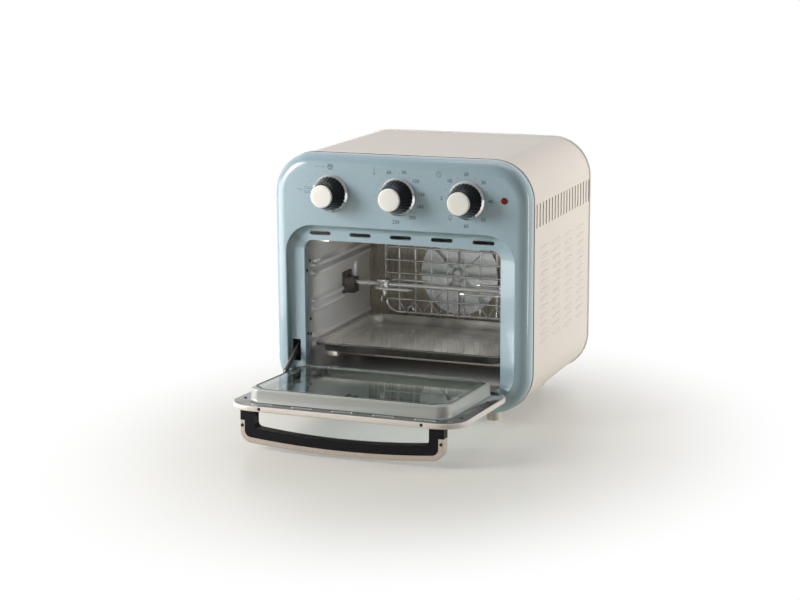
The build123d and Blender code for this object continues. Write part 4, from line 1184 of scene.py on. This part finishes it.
@dataclass
class Fascia:
    """The marks round the three knobs and the lamp at their right. Sizes are in millimetres."""

    ink: float = 0.05
    line: float = 0.55
    letter_size: float = 5.94
    letter_weight: float = 0.09
    number_radius: float = 30.0
    tick_radius: float = 27.0
    tick_length: float = 1.3
    lens_radius: float = 3.9
    knob_x: dict[str, float] = field(default_factory=dict)
    knob_height: float = 0.0

    def build(self) -> None:
        """Prints the fascia, and dresses the lamp."""
        for name, _ in DIALS:
            low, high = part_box(f"{name}_knob")
            self.knob_x[name] = (low.x + high.x) / 2 / MM
            self.knob_height = ((low.z + high.z) / 2 - Place.base) / MM
        self.words()
        self.drawings()
        low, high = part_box("indicator_lens")
        middle = (low + high) / 2

        def finish_of(centre: Vector) -> int:
            """Gives 0 for the lens and 1 for the rim round it, whose pale pink is the painted halo of the lit
            lamp.
            """
            away = math.hypot(centre.x - middle.x, centre.z - middle.z) / MM
            return 1 if away > self.lens_radius else 0

        dress_node("indicator_lens", LAMP_RED, "lens", Body.OVEN, Merged.ROUND, finish_of, (LAMP_RIM_PAINTED_HALO,))

    def round_knob(self, name: str, degrees: float, radius: float) -> tuple[float, float]:
        """Gives a place at an angle round a knob, as x and height."""
        turn = math.radians(degrees)
        return self.knob_x[name] + radius * math.cos(turn), self.knob_height + radius * math.sin(turn)

    def words(self) -> None:
        """Prints the numbers of the thermostat and the timer, each at its angle in degrees."""
        scales = {
            "thermostat": ((60, 110), (90, 73), (120, 40), (150, 8), (180, -20), (200, -52), (230, -94)),
            "timer": ((5, 178), (10, 133), (20, 90), (30, 46), (40, 0), (50, -46), (60, -90)),
        }
        shape = bmesh.new()
        for name, marks in scales.items():
            for number, degrees in marks:
                word = self.word(str(number), *self.round_knob(name, degrees, self.number_radius))
                shape.from_mesh(word)
                bpy.data.meshes.remove(word)
        bmesh.ops.remove_doubles(shape, verts=shape.verts, dist=PRINT_WELD)
        numbers = link_mesh("dial_numbers", freed("dial_numbers", shape), PRINT_INK)
        settle(numbers, Body.OVEN, "black_plastic")

    def word(self, text: str, x: float, height: float) -> bpy.types.Mesh:
        """Sets one number, turned to face the front.

        Args:
            text: what it says.
            x: where its middle is.
            height: how high its middle is.

        Returns:
            The number as a mesh in its place.
        """
        curve = bpy.data.curves.new("word", "FONT")
        curve.body = text
        curve.size = self.letter_size
        curve.offset = self.letter_weight
        curve.extrude = self.ink / 2
        curve.resolution_u = 3
        curve.align_x = "CENTER"
        curve.align_y = "CENTER"
        writing = linked("word", curve)
        graph = bpy.context.evaluated_depsgraph_get()
        mesh = bpy.data.meshes.new_from_object(writing.evaluated_get(graph))
        upright = Matrix.Rotation(math.radians(90.0), 4, "X")
        mesh.transform(Place.case_matrix() @ Matrix.Translation((x, -self.ink / 2, height)) @ upright)
        bpy.data.objects.remove(writing)
        bpy.data.curves.remove(curve)
        return mesh

    def ribbon(self, shape: bmesh.types.BMesh, points: Outline, closed: bool) -> None:
        """Draws one flat stroke of ink.

        Args:
            shape: the shape that takes the stroke.
            points: its line, as x and height in millimetres.
            closed: whether its end joins its start.
        """
        rows = []
        count = len(points)
        for number, (x, height) in enumerate(points):
            before = points[number - 1] if closed or number else points[number]
            after = points[(number + 1) % count] if closed or number < count - 1 else points[number]
            along = Vector((after[0] - before[0], after[1] - before[1])).normalized()
            side = Vector((-along.y, along.x)) * self.line / 2
            corners = [(side, -self.ink), (-side, -self.ink), (-side, 0.0), (side, 0.0)]
            rows.append([shape.verts.new(Place.at(x + s.x, depth, height + s.y)) for s, depth in corners])
        for first, second in zip(rows, rows[1:]):
            bridge(shape, first, second)
        if closed:
            bridge(shape, rows[-1], rows[0])
        else:
            shape.faces.new(rows[0])
            shape.faces.new(rows[-1])

    def drawings(self) -> None:
        """Prints the symbols, the scale marks and the lead-in dashes."""
        shape = bmesh.new()
        for points, closed in self.symbols():
            self.ribbon(shape, points, closed)
        symbols = link_mesh("dial_symbols", mesh_of("dial_symbols", shape), PRINT_INK)
        settle(symbols, Body.OVEN, "black_plastic")

    def symbols(self) -> Iterable[Stroke]:
        """Draws the symbols of fan, rack, heat, clock and lamp, and the scale marks.

        Returns:
            Each stroke, and whether it is closed.
        """
        yield from self.fan_symbol((-84.6, 284.5), 3.3)
        for start, end in ((-104.0, -101.4), (-99.6, -97.4), (-95.6, -91.6)):
            yield [(start, 284.2), (end, 284.2)], False
        yield [(-117.5, 252.4), (-109.0, 252.4), (-109.0, 259.4), (-117.5, 259.4)], True
        for height in (257.4, 254.4):
            yield [(-115.6, height), (-110.9, height)], False
        yield [(-128.0, 256.9), (-124.6, 256.3), (-120.6, 255.6)], False
        yield [(-28.9, 286.0), (-28.9, 280.2)], False
        yield circle((-28.9, 279.0), 1.1, 12), True
        yield circle((51.3, 281.6), 3.0), True
        yield [(51.3, 283.6), (51.3, 281.6), (52.8, 280.9)], False
        yield arc((65.4, 232.6), 1.9, 0.0, 180.0, 10) + [(62.6, 230.7), (68.2, 230.7)], True
        yield circle((65.4, 229.5), 0.7, 8), True
        ticks = (
            ("thermostat", 180, 120, 15), ("thermostat", 99, 84, 15), ("thermostat", 57, -40, 32),
            ("timer", 156, 112, 22), ("timer", 68, -70, 22), ("function", 150, 110, 20),
        )
        reaches = (self.tick_radius, self.tick_radius + self.tick_length)
        for name, first, last, step in ticks:
            for degrees in range(first, last - 1, -step):
                yield [self.round_knob(name, degrees, reach) for reach in reaches], False

    def fan_symbol(self, centre: tuple[float, float], radius: float) -> Iterable[Stroke]:
        """Draws a fan of three blades in a ring.

        Args:
            centre: its middle, as x and height.
            radius: the ring's radius.

        Returns:
            Each stroke, and whether it is closed.
        """
        yield circle(centre, radius), True
        for blade in range(3):
            start = 120.0 * blade
            yield [centre, *arc(centre, radius * 0.72, start, start + 50.0, 4)], True


@dataclass
class Louvers:
    """Pressed scoops over the rows of side slots, each open at its rear end. Sizes are in millimetres."""

    node: str = "cabinet_shell"
    rows: int = 12
    columns: int = 4
    row_pitch: float = 10.2
    column_pitch: float = 50.5
    first_depth: float = 68.0
    top_drop: float = 106.5
    length: float = 33.0
    forward: float = 4.2
    width: float = 5.4
    rise: float = 2.2
    thickness: float = 0.5
    sink: float = 0.02
    steps: int = 8
    arch_steps: int = 6
    swell_power: float = 0.7
    mouth_drop: float = 0.35
    drop_from: float = 0.75
    widening: float = 1.6
    blunt_end: float = 0.12

    def section(self, part: float, inset: float) -> Outline:
        """Gives the arch of one scoop at a part of its length.

        Args:
            part: 0 at its closed end, 1 at its mouth.
            inset: how far the arch lies inside the scoop's outer face.

        Returns:
            The arch, as Y and Z.
        """
        swell = math.sin(part * math.pi / 2) ** self.swell_power
        swell *= 1 - self.mouth_drop * ease(part, self.drop_from, 1.0)
        wide = min(1.0, part * self.widening + self.blunt_end)
        half = (self.width / 2 - inset) * math.sin(wide * math.pi / 2)
        tall = max(self.sink, (self.rise - inset) * swell)
        turns = [math.pi * turn / self.arch_steps for turn in range(self.arch_steps + 1)]
        return [(half * math.cos(turn), tall * math.sin(turn)) for turn in turns]

    def scoop(self) -> bpy.types.Object:
        """Makes one scoop: flat on X and Y, rising along Z, with its mouth at +X.

        Returns:
            The scoop, in metres.
        """
        shape = bmesh.new()
        shells = []
        for inset in (0.0, self.thickness):
            rows = []
            for step in range(self.steps + 1):
                part = step / self.steps
                x = (part - 0.5) * self.length
                arch = self.section(part, inset)
                rows.append([shape.verts.new((x * MM, y * MM, z * MM - self.sink * MM)) for y, z in arch])
            for first, second in zip(rows, rows[1:]):
                bridge(shape, first, second, closed=False)
            shells.append(rows)
        outer, inner = shells
        for end in (-1, 0):
            bridge(shape, outer[end], inner[end], closed=False)
        for edge in (0, -1):
            bridge(shape, [row[edge] for row in outer], [row[edge] for row in inner], closed=False)
        return linked("scoop", mesh_of("scoop", shape, 40.0))

    def build(self) -> None:
        """Sets the scoops on both sides with one tree."""
        low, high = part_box(self.node)
        frame_low, frame_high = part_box("front_frame")
        scoop = self.scoop()
        recipe = Recipe("louver_recipe")
        sheet = recipe.sheet
        spread = recipe.size("Spread along", self.column_pitch * MM * (self.columns - 1))
        drop = recipe.size("Spread down", self.row_pitch * MM * (self.rows - 1))
        columns = recipe.size("Columns", self.columns, "NodeSocketInt")
        rows = recipe.size("Rows", self.rows, "NodeSocketInt")
        grid = sheet.out(
            "GeometryNodeMeshGrid", Size_X=spread, Size_Y=drop, Vertices_X=columns, Vertices_Y=rows
        )
        shown = sheet.add("GeometryNodeObjectInfo", Object=recipe.size("Scoop", scoop, "NodeSocketObject"))
        placed = sheet.out("GeometryNodeInstanceOnPoints", Points=grid, Instance=shown.outputs["Geometry"])
        both = sheet.add("GeometryNodeJoinGeometry")
        first = self.first_depth - self.forward
        middle_y = frame_low.y + (first + self.column_pitch * (self.columns - 1) / 2) * MM
        middle_z = frame_high.z - (self.top_drop + self.row_pitch * (self.rows - 1) / 2) * MM
        for name, side, turn in (
            ("right", high.x, (math.pi / 2, 0.0, math.pi / 2)),
            ("left", low.x, (math.pi / 2, math.pi, -math.pi / 2)),
        ):
            place = recipe.size(f"Place {name}", (side, middle_y, middle_z), "NodeSocketVector")
            turned = recipe.size(f"Turn {name}", turn, "NodeSocketRotation")
            move = sheet.out("GeometryNodeTransform", Geometry=placed, Translation=place, Rotation=turned)
            sheet.fill(both, Geometry=move)
        carrier = point_mesh("louver_scoops", [Vector()])
        piece = recipe.bake("louver_scoops", carrier, both.outputs["Geometry"], CASE_CREAM)
        bpy.data.objects.remove(scoop)
        settle(piece, Body.OVEN, "cream_case")


@dataclass
class Case:
    """The blue front, the wrapped cabinet with its lips and louvers, the rear, the bottom and the feet.

    Sizes are in millimetres.
    """

    corner: float = 48.4
    lip_inset: float = 13.0
    front_bead: float = 24.2
    rear_bead_inset: float = 1.1
    bead_radius: float = 1.5
    seam: float = 22.3
    seam_radius: float = 0.9
    arc_steps: int = 14

    def build(self) -> None:
        """Dresses the case."""
        dress_node("front_frame", FRONT_BLUE, "blue_front")
        dress_node("cabinet_shell", CASE_CREAM, "cream_case")
        self.beads()
        Louvers().build()
        dress_node("rear_panel", ZINC, "zinc")
        dress_node("bottom_plate", ZINC, "zinc")
        dress_node("cord_gland", PLASTIC_BLACK, "black_plastic")
        for place in ("front_left", "front_right", "rear_left", "rear_right"):
            dress_node(f"foot_{place}", FOOT_CREAM, "feet", merged=Merged.ROUND)

    def outline(self, y: float) -> list[Vector]:
        """Follows the cabinet's outline at a depth.

        Args:
            y: the depth, in metres.

        Returns:
            The points, from one bottom lip round to the other.
        """
        low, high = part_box("cabinet_shell")
        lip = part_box("bottom_plate")[1].x - self.lip_inset * MM
        radius = self.corner * MM
        near, far = Vector((low.x + radius, low.z + radius)), Vector((high.x - radius, high.z - radius))
        points = [(lip, low.z)]
        for number, centre in enumerate(((far.x, near.y), (far.x, far.y), (near.x, far.y), (near.x, near.y))):
            points += arc(centre, radius, 90.0 * (number - 1), 90.0 * number, self.arc_steps)
        points.append((-lip, low.z))
        return [Vector((x, y, z)) for x, z in points]

    def beads(self) -> None:
        """Rolls the cabinet's front and rear edges into beads, a lighter cream than the cabinet as a painted
        highlight, and lays a dark wire behind the front as painted shadow in the gap.
        """
        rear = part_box("cabinet_shell")[1].y - self.rear_bead_inset * MM
        for name, y, radius, finish, slot in (
            ("front_bead", Place.front + self.front_bead * MM, self.bead_radius, CASE_BEAD_PAINTED_HIGHLIGHT, "cream_case"),
            ("rear_bead", rear, self.bead_radius, CASE_BEAD_PAINTED_HIGHLIGHT, "cream_case"),
            # Painted shadow: a dark wire that stands in for the shade in the gap between the blue front and
            # the cabinet.
            ("front_seam", Place.front + self.seam * MM, self.seam_radius, DARK_SEAL_AND_GAP_SHADOW, "black_plastic"),
        ):
            settle(wire(name, radius, finish, self.outline(y)), Body.OVEN, slot)


@dataclass
class PressedWall:
    """A side wall of the liner: one sheet with soft pressed guides and a rounded pad.

    The side is -1 for left and 1 for right. Sizes are in millimetres.
    """

    node: str
    side: int
    thickness: float = 1.2
    rib_depth: float = 6.5
    rib_half: float = 3.0
    rib_slope: float = 1.5
    rib_start: float = 32.0
    rib_end: float = 212.0
    short_end: float = 122.0
    levels: tuple[float, ...] = (62.5, 107.0, 151.5)
    below: float = 3.3
    above: float = 7.2
    pad_centre: tuple[float, float] = (190.0, 127.0)
    pad_size: tuple[float, float] = (44.0, 28.0)
    pad_depth: float = 3.0
    pad_corner: float = 7.0
    pad_slope: tuple[float, float] = (-2.0, 1.6)
    cell: float = 1.5

    def rise(self, depth: float, height: float) -> float:
        """Tells how far the sheet stands out at a point.

        Args:
            depth: the point's depth behind the front plane.
            height: its height over the frame's bottom.

        Returns:
            The distance.
        """
        tallest = 0.0
        for number, level in enumerate(self.levels):
            end = self.short_end if number == 1 else self.rib_end
            for middle in (level - self.below, level + self.above):
                start, stop = self.rib_start + self.rib_half, end - self.rib_half
                gap = max(start - depth, 0.0, depth - stop)
                away = math.hypot(gap, height - middle)
                slope = ease(away, self.rib_half - self.rib_slope, self.rib_half + self.rib_slope)
                tallest = max(tallest, self.rib_depth * (1 - slope))
        across = abs(depth - self.pad_centre[0]) - self.pad_size[0] / 2 + self.pad_corner
        up = abs(height - self.pad_centre[1]) - self.pad_size[1] / 2 + self.pad_corner
        away = math.hypot(max(across, 0.0), max(up, 0.0)) - self.pad_corner
        return max(tallest, self.pad_depth * (1 - ease(away, *self.pad_slope)))

    def build(self) -> None:
        """Presses the sheet and gives it its thickness."""
        low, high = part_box(self.node)
        outer = (low.x if self.side < 0 else high.x) / MM
        inner = outer - self.side * self.thickness
        columns = round((high.y - low.y) / MM / self.cell)
        rows = round((high.z - low.z) / MM / self.cell)
        shape = bmesh.new()
        grid = []
        for column in range(columns + 1):
            y = low.y + (high.y - low.y) * column / columns
            line = []
            for row in range(rows + 1):
                z = low.z + (high.z - low.z) * row / rows
                out = self.rise((y - Place.front) / MM, (z - Place.base) / MM)
                line.append(shape.verts.new(((inner - self.side * out) * MM, y, z)))
            grid.append(line)
        for first, second in zip(grid, grid[1:]):
            bridge(shape, first, second, closed=False)
        inwards = Vector((-self.side, 0.0, 0.0))
        shape.normal_update()
        if sum(face.normal.dot(inwards) for face in shape.faces) < 0:
            bmesh.ops.reverse_faces(shape, faces=shape.faces)
        mesh = freed(self.node + "_pressed", shape)
        smooth_mesh(mesh, 60.0)
        piece = link_mesh(self.node + "_pressed", mesh, LINER)
        solid = piece.modifiers.new("sheet", "SOLIDIFY")
        solid.thickness = self.thickness * MM
        solid.offset = -1.0
        bake_modifiers(piece)
        settle(piece, Body.OVEN, "liner_steel", self.node)


@dataclass
class Cavity:
    """The cooking space: liner, heating rods, the fan behind its guard, and small fixings.

    Sizes are in millimetres.
    """

    zigzag_low: float = 70.8
    zigzag_high: float = 85.2
    zigzag_half: float = 77.0
    zigzag_pitch: float = 11.0
    zigzag_wire: float = 0.95
    zigzag_weld: float = 0.3
    rod: float = 3.25
    rod_play: float = 0.4
    pin_length: float = 11.0

    def build(self) -> None:
        """Dresses the cavity."""
        for node, side in (("liner_left_wall", -1), ("liner_right_wall", 1)):
            PressedWall(node, side).build()
        dress_node("liner_roof", LINER, "liner_steel")
        dress_node("liner_floor", LINER, "liner_steel")
        # The rear wall's darker steel is painted shade of the cavity's depth.
        dress_node("liner_rear_wall", REAR_LINER_PAINTED_SHADE, "liner_steel")
        for node in ("upper_heater_front", "upper_heater_rear", "lower_heater_front", "lower_heater_rear"):
            self.heater(node)
        dress_node("fan_guard", CHROME, "wire_steel", merged=Merged.ROUND)
        self.zigzag()
        dress_node("fan_blade", ZINC, "zinc", Body.FAN)
        dress_node("fan_shaft", ZINC, "zinc", Body.FAN)

        def facing(centre: Vector) -> Vector:
            """Gives the way into the cavity from a side wall."""
            return Vector((-centre.x, 0.0, 0.0))

        ScrewHeads(2.1, 0.7).build("liner_screws", Body.OVEN, "screw_steel", DARK_SCREW, facing)

    def heater(self, node: str) -> None:
        """Dresses a heating rod: a dark sheath, ceramic insulators and plain pins.

        Args:
            node: the rod's node.
        """
        low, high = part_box(node)
        middle = (low + high) / 2
        sheath_end = high.x - self.pin_length * MM

        def finish_of(centre: Vector) -> int:
            """Gives 0 for the sheath, 1 for ceramic and 2 for a pin."""
            ceramic = math.hypot(centre.y - middle.y, centre.z - middle.z) / MM > self.rod + self.rod_play
            return 1 if ceramic else 2 if abs(centre.x) > sheath_end else 0

        dress_node(node, HEATER, "heater_steel", Body.OVEN, Merged.ROUND, finish_of, (CERAMIC, ZINC))

    def zigzag(self) -> None:
        """Welds a zigzag wire across the lower rows of the guard."""
        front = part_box("fan_guard")[0].y - (self.zigzag_wire - self.zigzag_weld) * MM
        count = round(2 * self.zigzag_half / self.zigzag_pitch)
        points = []
        for number in range(count + 1):
            height = self.zigzag_high if number % 2 == 0 else self.zigzag_low
            spot = Place.at(-self.zigzag_half + number * self.zigzag_pitch, 0.0, height)
            points.append(Vector((spot.x, front, spot.z)))
        settle(wire("guard_zigzag", self.zigzag_wire, CHROME, points), Body.OVEN, "wire_steel")


class Rotisserie:
    """The spit with its forks and drive, and the bracket that holds its free end."""

    def build(self) -> None:
        """Dresses the spit."""
        dress_node("spit_bracket", BLACK_STEEL, "dark_steel")
        for node in ("spit_rod", "spit_fork_left", "spit_fork_right", "fork_screws"):
            dress_node(node, CHROME, "wire_steel", Body.SPIT, Merged.ROUND)
        dress_node("spit_drive", BLACK_STEEL, "dark_steel", Body.SPIT)


@dataclass
class Tray:
    """The enamelled baking tray, whose rolled edge is painted bright as a highlight and whose enamel is
    painted with streaks of reflection. Sizes are in millimetres.
    """

    rolled_radius: float = 0.75
    rolled_sink: float = 0.6
    corner: float = 14.0

    def build(self) -> None:
        """Dresses the tray and rolls its edge."""
        # The enamel's streaks along Y are painted reflection.
        dress_node("baking_tray", ENAMEL_PAINTED_STREAKS, "enamel", Body.TRAY, Merged.ROUND)
        low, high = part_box("baking_tray")
        inset = self.rolled_radius * MM
        near, far = Vector((low.x + inset, low.y + inset)), Vector((high.x - inset, high.y - inset))
        level = high.z - inset * self.rolled_sink
        line = [Vector((x, y, level)) for x, y in rounded(near, far, self.corner * MM - inset)]
        # Painted highlight: the rolled edge in bright metal over the dark enamel.
        rolled = wire("tray_rolled_edge", self.rolled_radius, TRAY_RIM_PAINTED_HIGHLIGHT, line, closed=True)
        settle(rolled, Body.TRAY, "enamel")


@dataclass
class Door:
    """The drop-down door: its frame, inner pan with slots, two panes, screws, handle and arm.

    Sizes are in millimetres.
    """

    pan_foot: float = 4.35
    glass_chamfer: float = 17.0
    seal_radius: float = 0.5
    flange_top: float = 4.0
    slot_size: tuple[float, float] = (24.4, 3.4)
    slot_pitch: float = 49.0
    slot_reach: float = 177.0
    slot_edge: float = 0.3
    front_band: float = 5.0

    def build(self) -> None:
        """Dresses the door and what is fixed to it."""
        dress_node("door_frame", DOOR_CREAM, "cream_plastic", Body.DOOR)

        def finish_of(centre: Vector) -> int:
            """Gives 1 for the dark flange and 0 for the raised pan."""
            return 1 if (centre - DoorPlace.axis).dot(DoorPlace.up) / MM < self.pan_foot else 0

        dress_node(
            "door_inner_frame", PLUG_SATIN, "liner_steel", Body.DOOR, choose=finish_of, others=(FLANGE_DARK,)
        )
        dress_node("door_glass_outer", GLASS, "glass", Body.DOOR)
        dress_node("door_glass_inner", GLASS, "glass", Body.DOOR)
        self.seal()
        self.slot_edges()
        self.screws()
        dress_node("handle_grip", GRIP_BLACK, "black_grip", Body.DOOR)
        dress_node("handle_strip", CHAMPAGNE, "champagne", Body.DOOR)
        dress_node("arm_bracket", ARM_STEEL, "zinc", Body.DOOR)
        dress_node("door_arm", ARM_STEEL, "zinc", Body.ARM)
        dress_node("hinge_pins", SCREW, "screw_steel")

    def seal(self) -> None:
        """Runs a thin dark seal round the inner pane."""
        to_door = DoorPlace.matrix().inverted()
        low, high = span([to_door @ vertex.co for vertex in frame["nodes"]["door_glass_inner"].data.vertices])
        edge = rounded(low, high, self.glass_chamfer, 1)
        points = [DoorPlace.matrix() @ Vector((x, reach, high.z)) for x, reach in edge]
        seal = wire("glass_seal", self.seal_radius, DARK_SEAL_AND_GAP_SHADOW, points, closed=True)
        settle(seal, Body.DOOR, "black_plastic")

    def slot_edges(self) -> None:
        """Rolls a thin bead round each slot of the flange: the pressed edge, whose bright chrome over the
        dark flange is painted glint.
        """
        half = Vector(self.slot_size) / 2
        loops = []
        for number in range(-2, 3):
            middle = Vector((number * self.slot_pitch, self.slot_reach))
            outline = rounded(middle - half, middle + half, half.y - 0.01)
            loops.append([DoorPlace.matrix() @ Vector((x, reach, self.flange_top)) for x, reach in outline])
        # Painted glints: the slots' pressed edges in bright chrome over the dark flange.
        edges = wire("flange_slot_edges", self.slot_edge, CHROME, *loops, closed=True)
        settle(edges, Body.DOOR, "liner_steel")

    def screws(self) -> None:
        """Sets the small heads of the flange, the front band and the handle."""
        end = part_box("door_frame")[0].y + self.front_band * MM

        def facing(centre: Vector) -> Vector:
            """Gives the way out of the front band, or up from the flange."""
            return DoorPlace.out if centre.y < end else DoorPlace.up

        small = ScrewHeads(1.9, 0.7)
        small.build("door_screws", Body.DOOR, "screw_steel", DARK_SCREW, facing)
        small.build("handle_screws", Body.DOOR, "screw_steel", DARK_SCREW, lambda centre: DoorPlace.out)


class HiddenWorks:
    """What sits behind the fascia and outside the liner, and the case screws."""

    rear_inset: float = 2.0

    def build(self) -> None:
        """Dresses the switches, motors, shafts and screws."""
        dress_node("control_bracket", ZINC, "zinc")
        dress_node("function_switch", BAKELITE, "black_plastic")
        dress_node("thermostat", ZINC, "zinc")
        dress_node("timer", PLASTIC_BLACK, "black_plastic")
        for name, body in DIALS:
            dress_node(f"{name}_shaft", BRASS, "zinc", body, Merged.ROUND)
        dress_node("fan_motor", ZINC, "zinc")
        dress_node("rotisserie_motor", ZINC, "zinc")
        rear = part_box("rear_panel")[1].y - self.rear_inset * MM

        def facing(centre: Vector) -> Vector:
            """Gives the way out of the case: backwards, or down from the bottom lips."""
            return Vector((0.0, 1.0, 0.0)) if centre.y > rear else Vector((0.0, 0.0, -1.0))

        ScrewHeads().build("cabinet_screws", Body.OVEN, "screw_steel", SCREW, facing)


def main() -> None:
    """Builds the studio and every part of the oven, in order."""
    logging.basicConfig(level=logging.INFO, format="%(message)s")
    Studio().build()
    knobs = [Knob(name, body) for name, body in DIALS]
    for part in (Case(), Fascia(), *knobs, Cavity(), Rotisserie(), Tray(), Door(), HiddenWorks()):
        LOG.info("building %s", type(part).__name__)
        part.build()


if __name__ == "__main__":
    main()
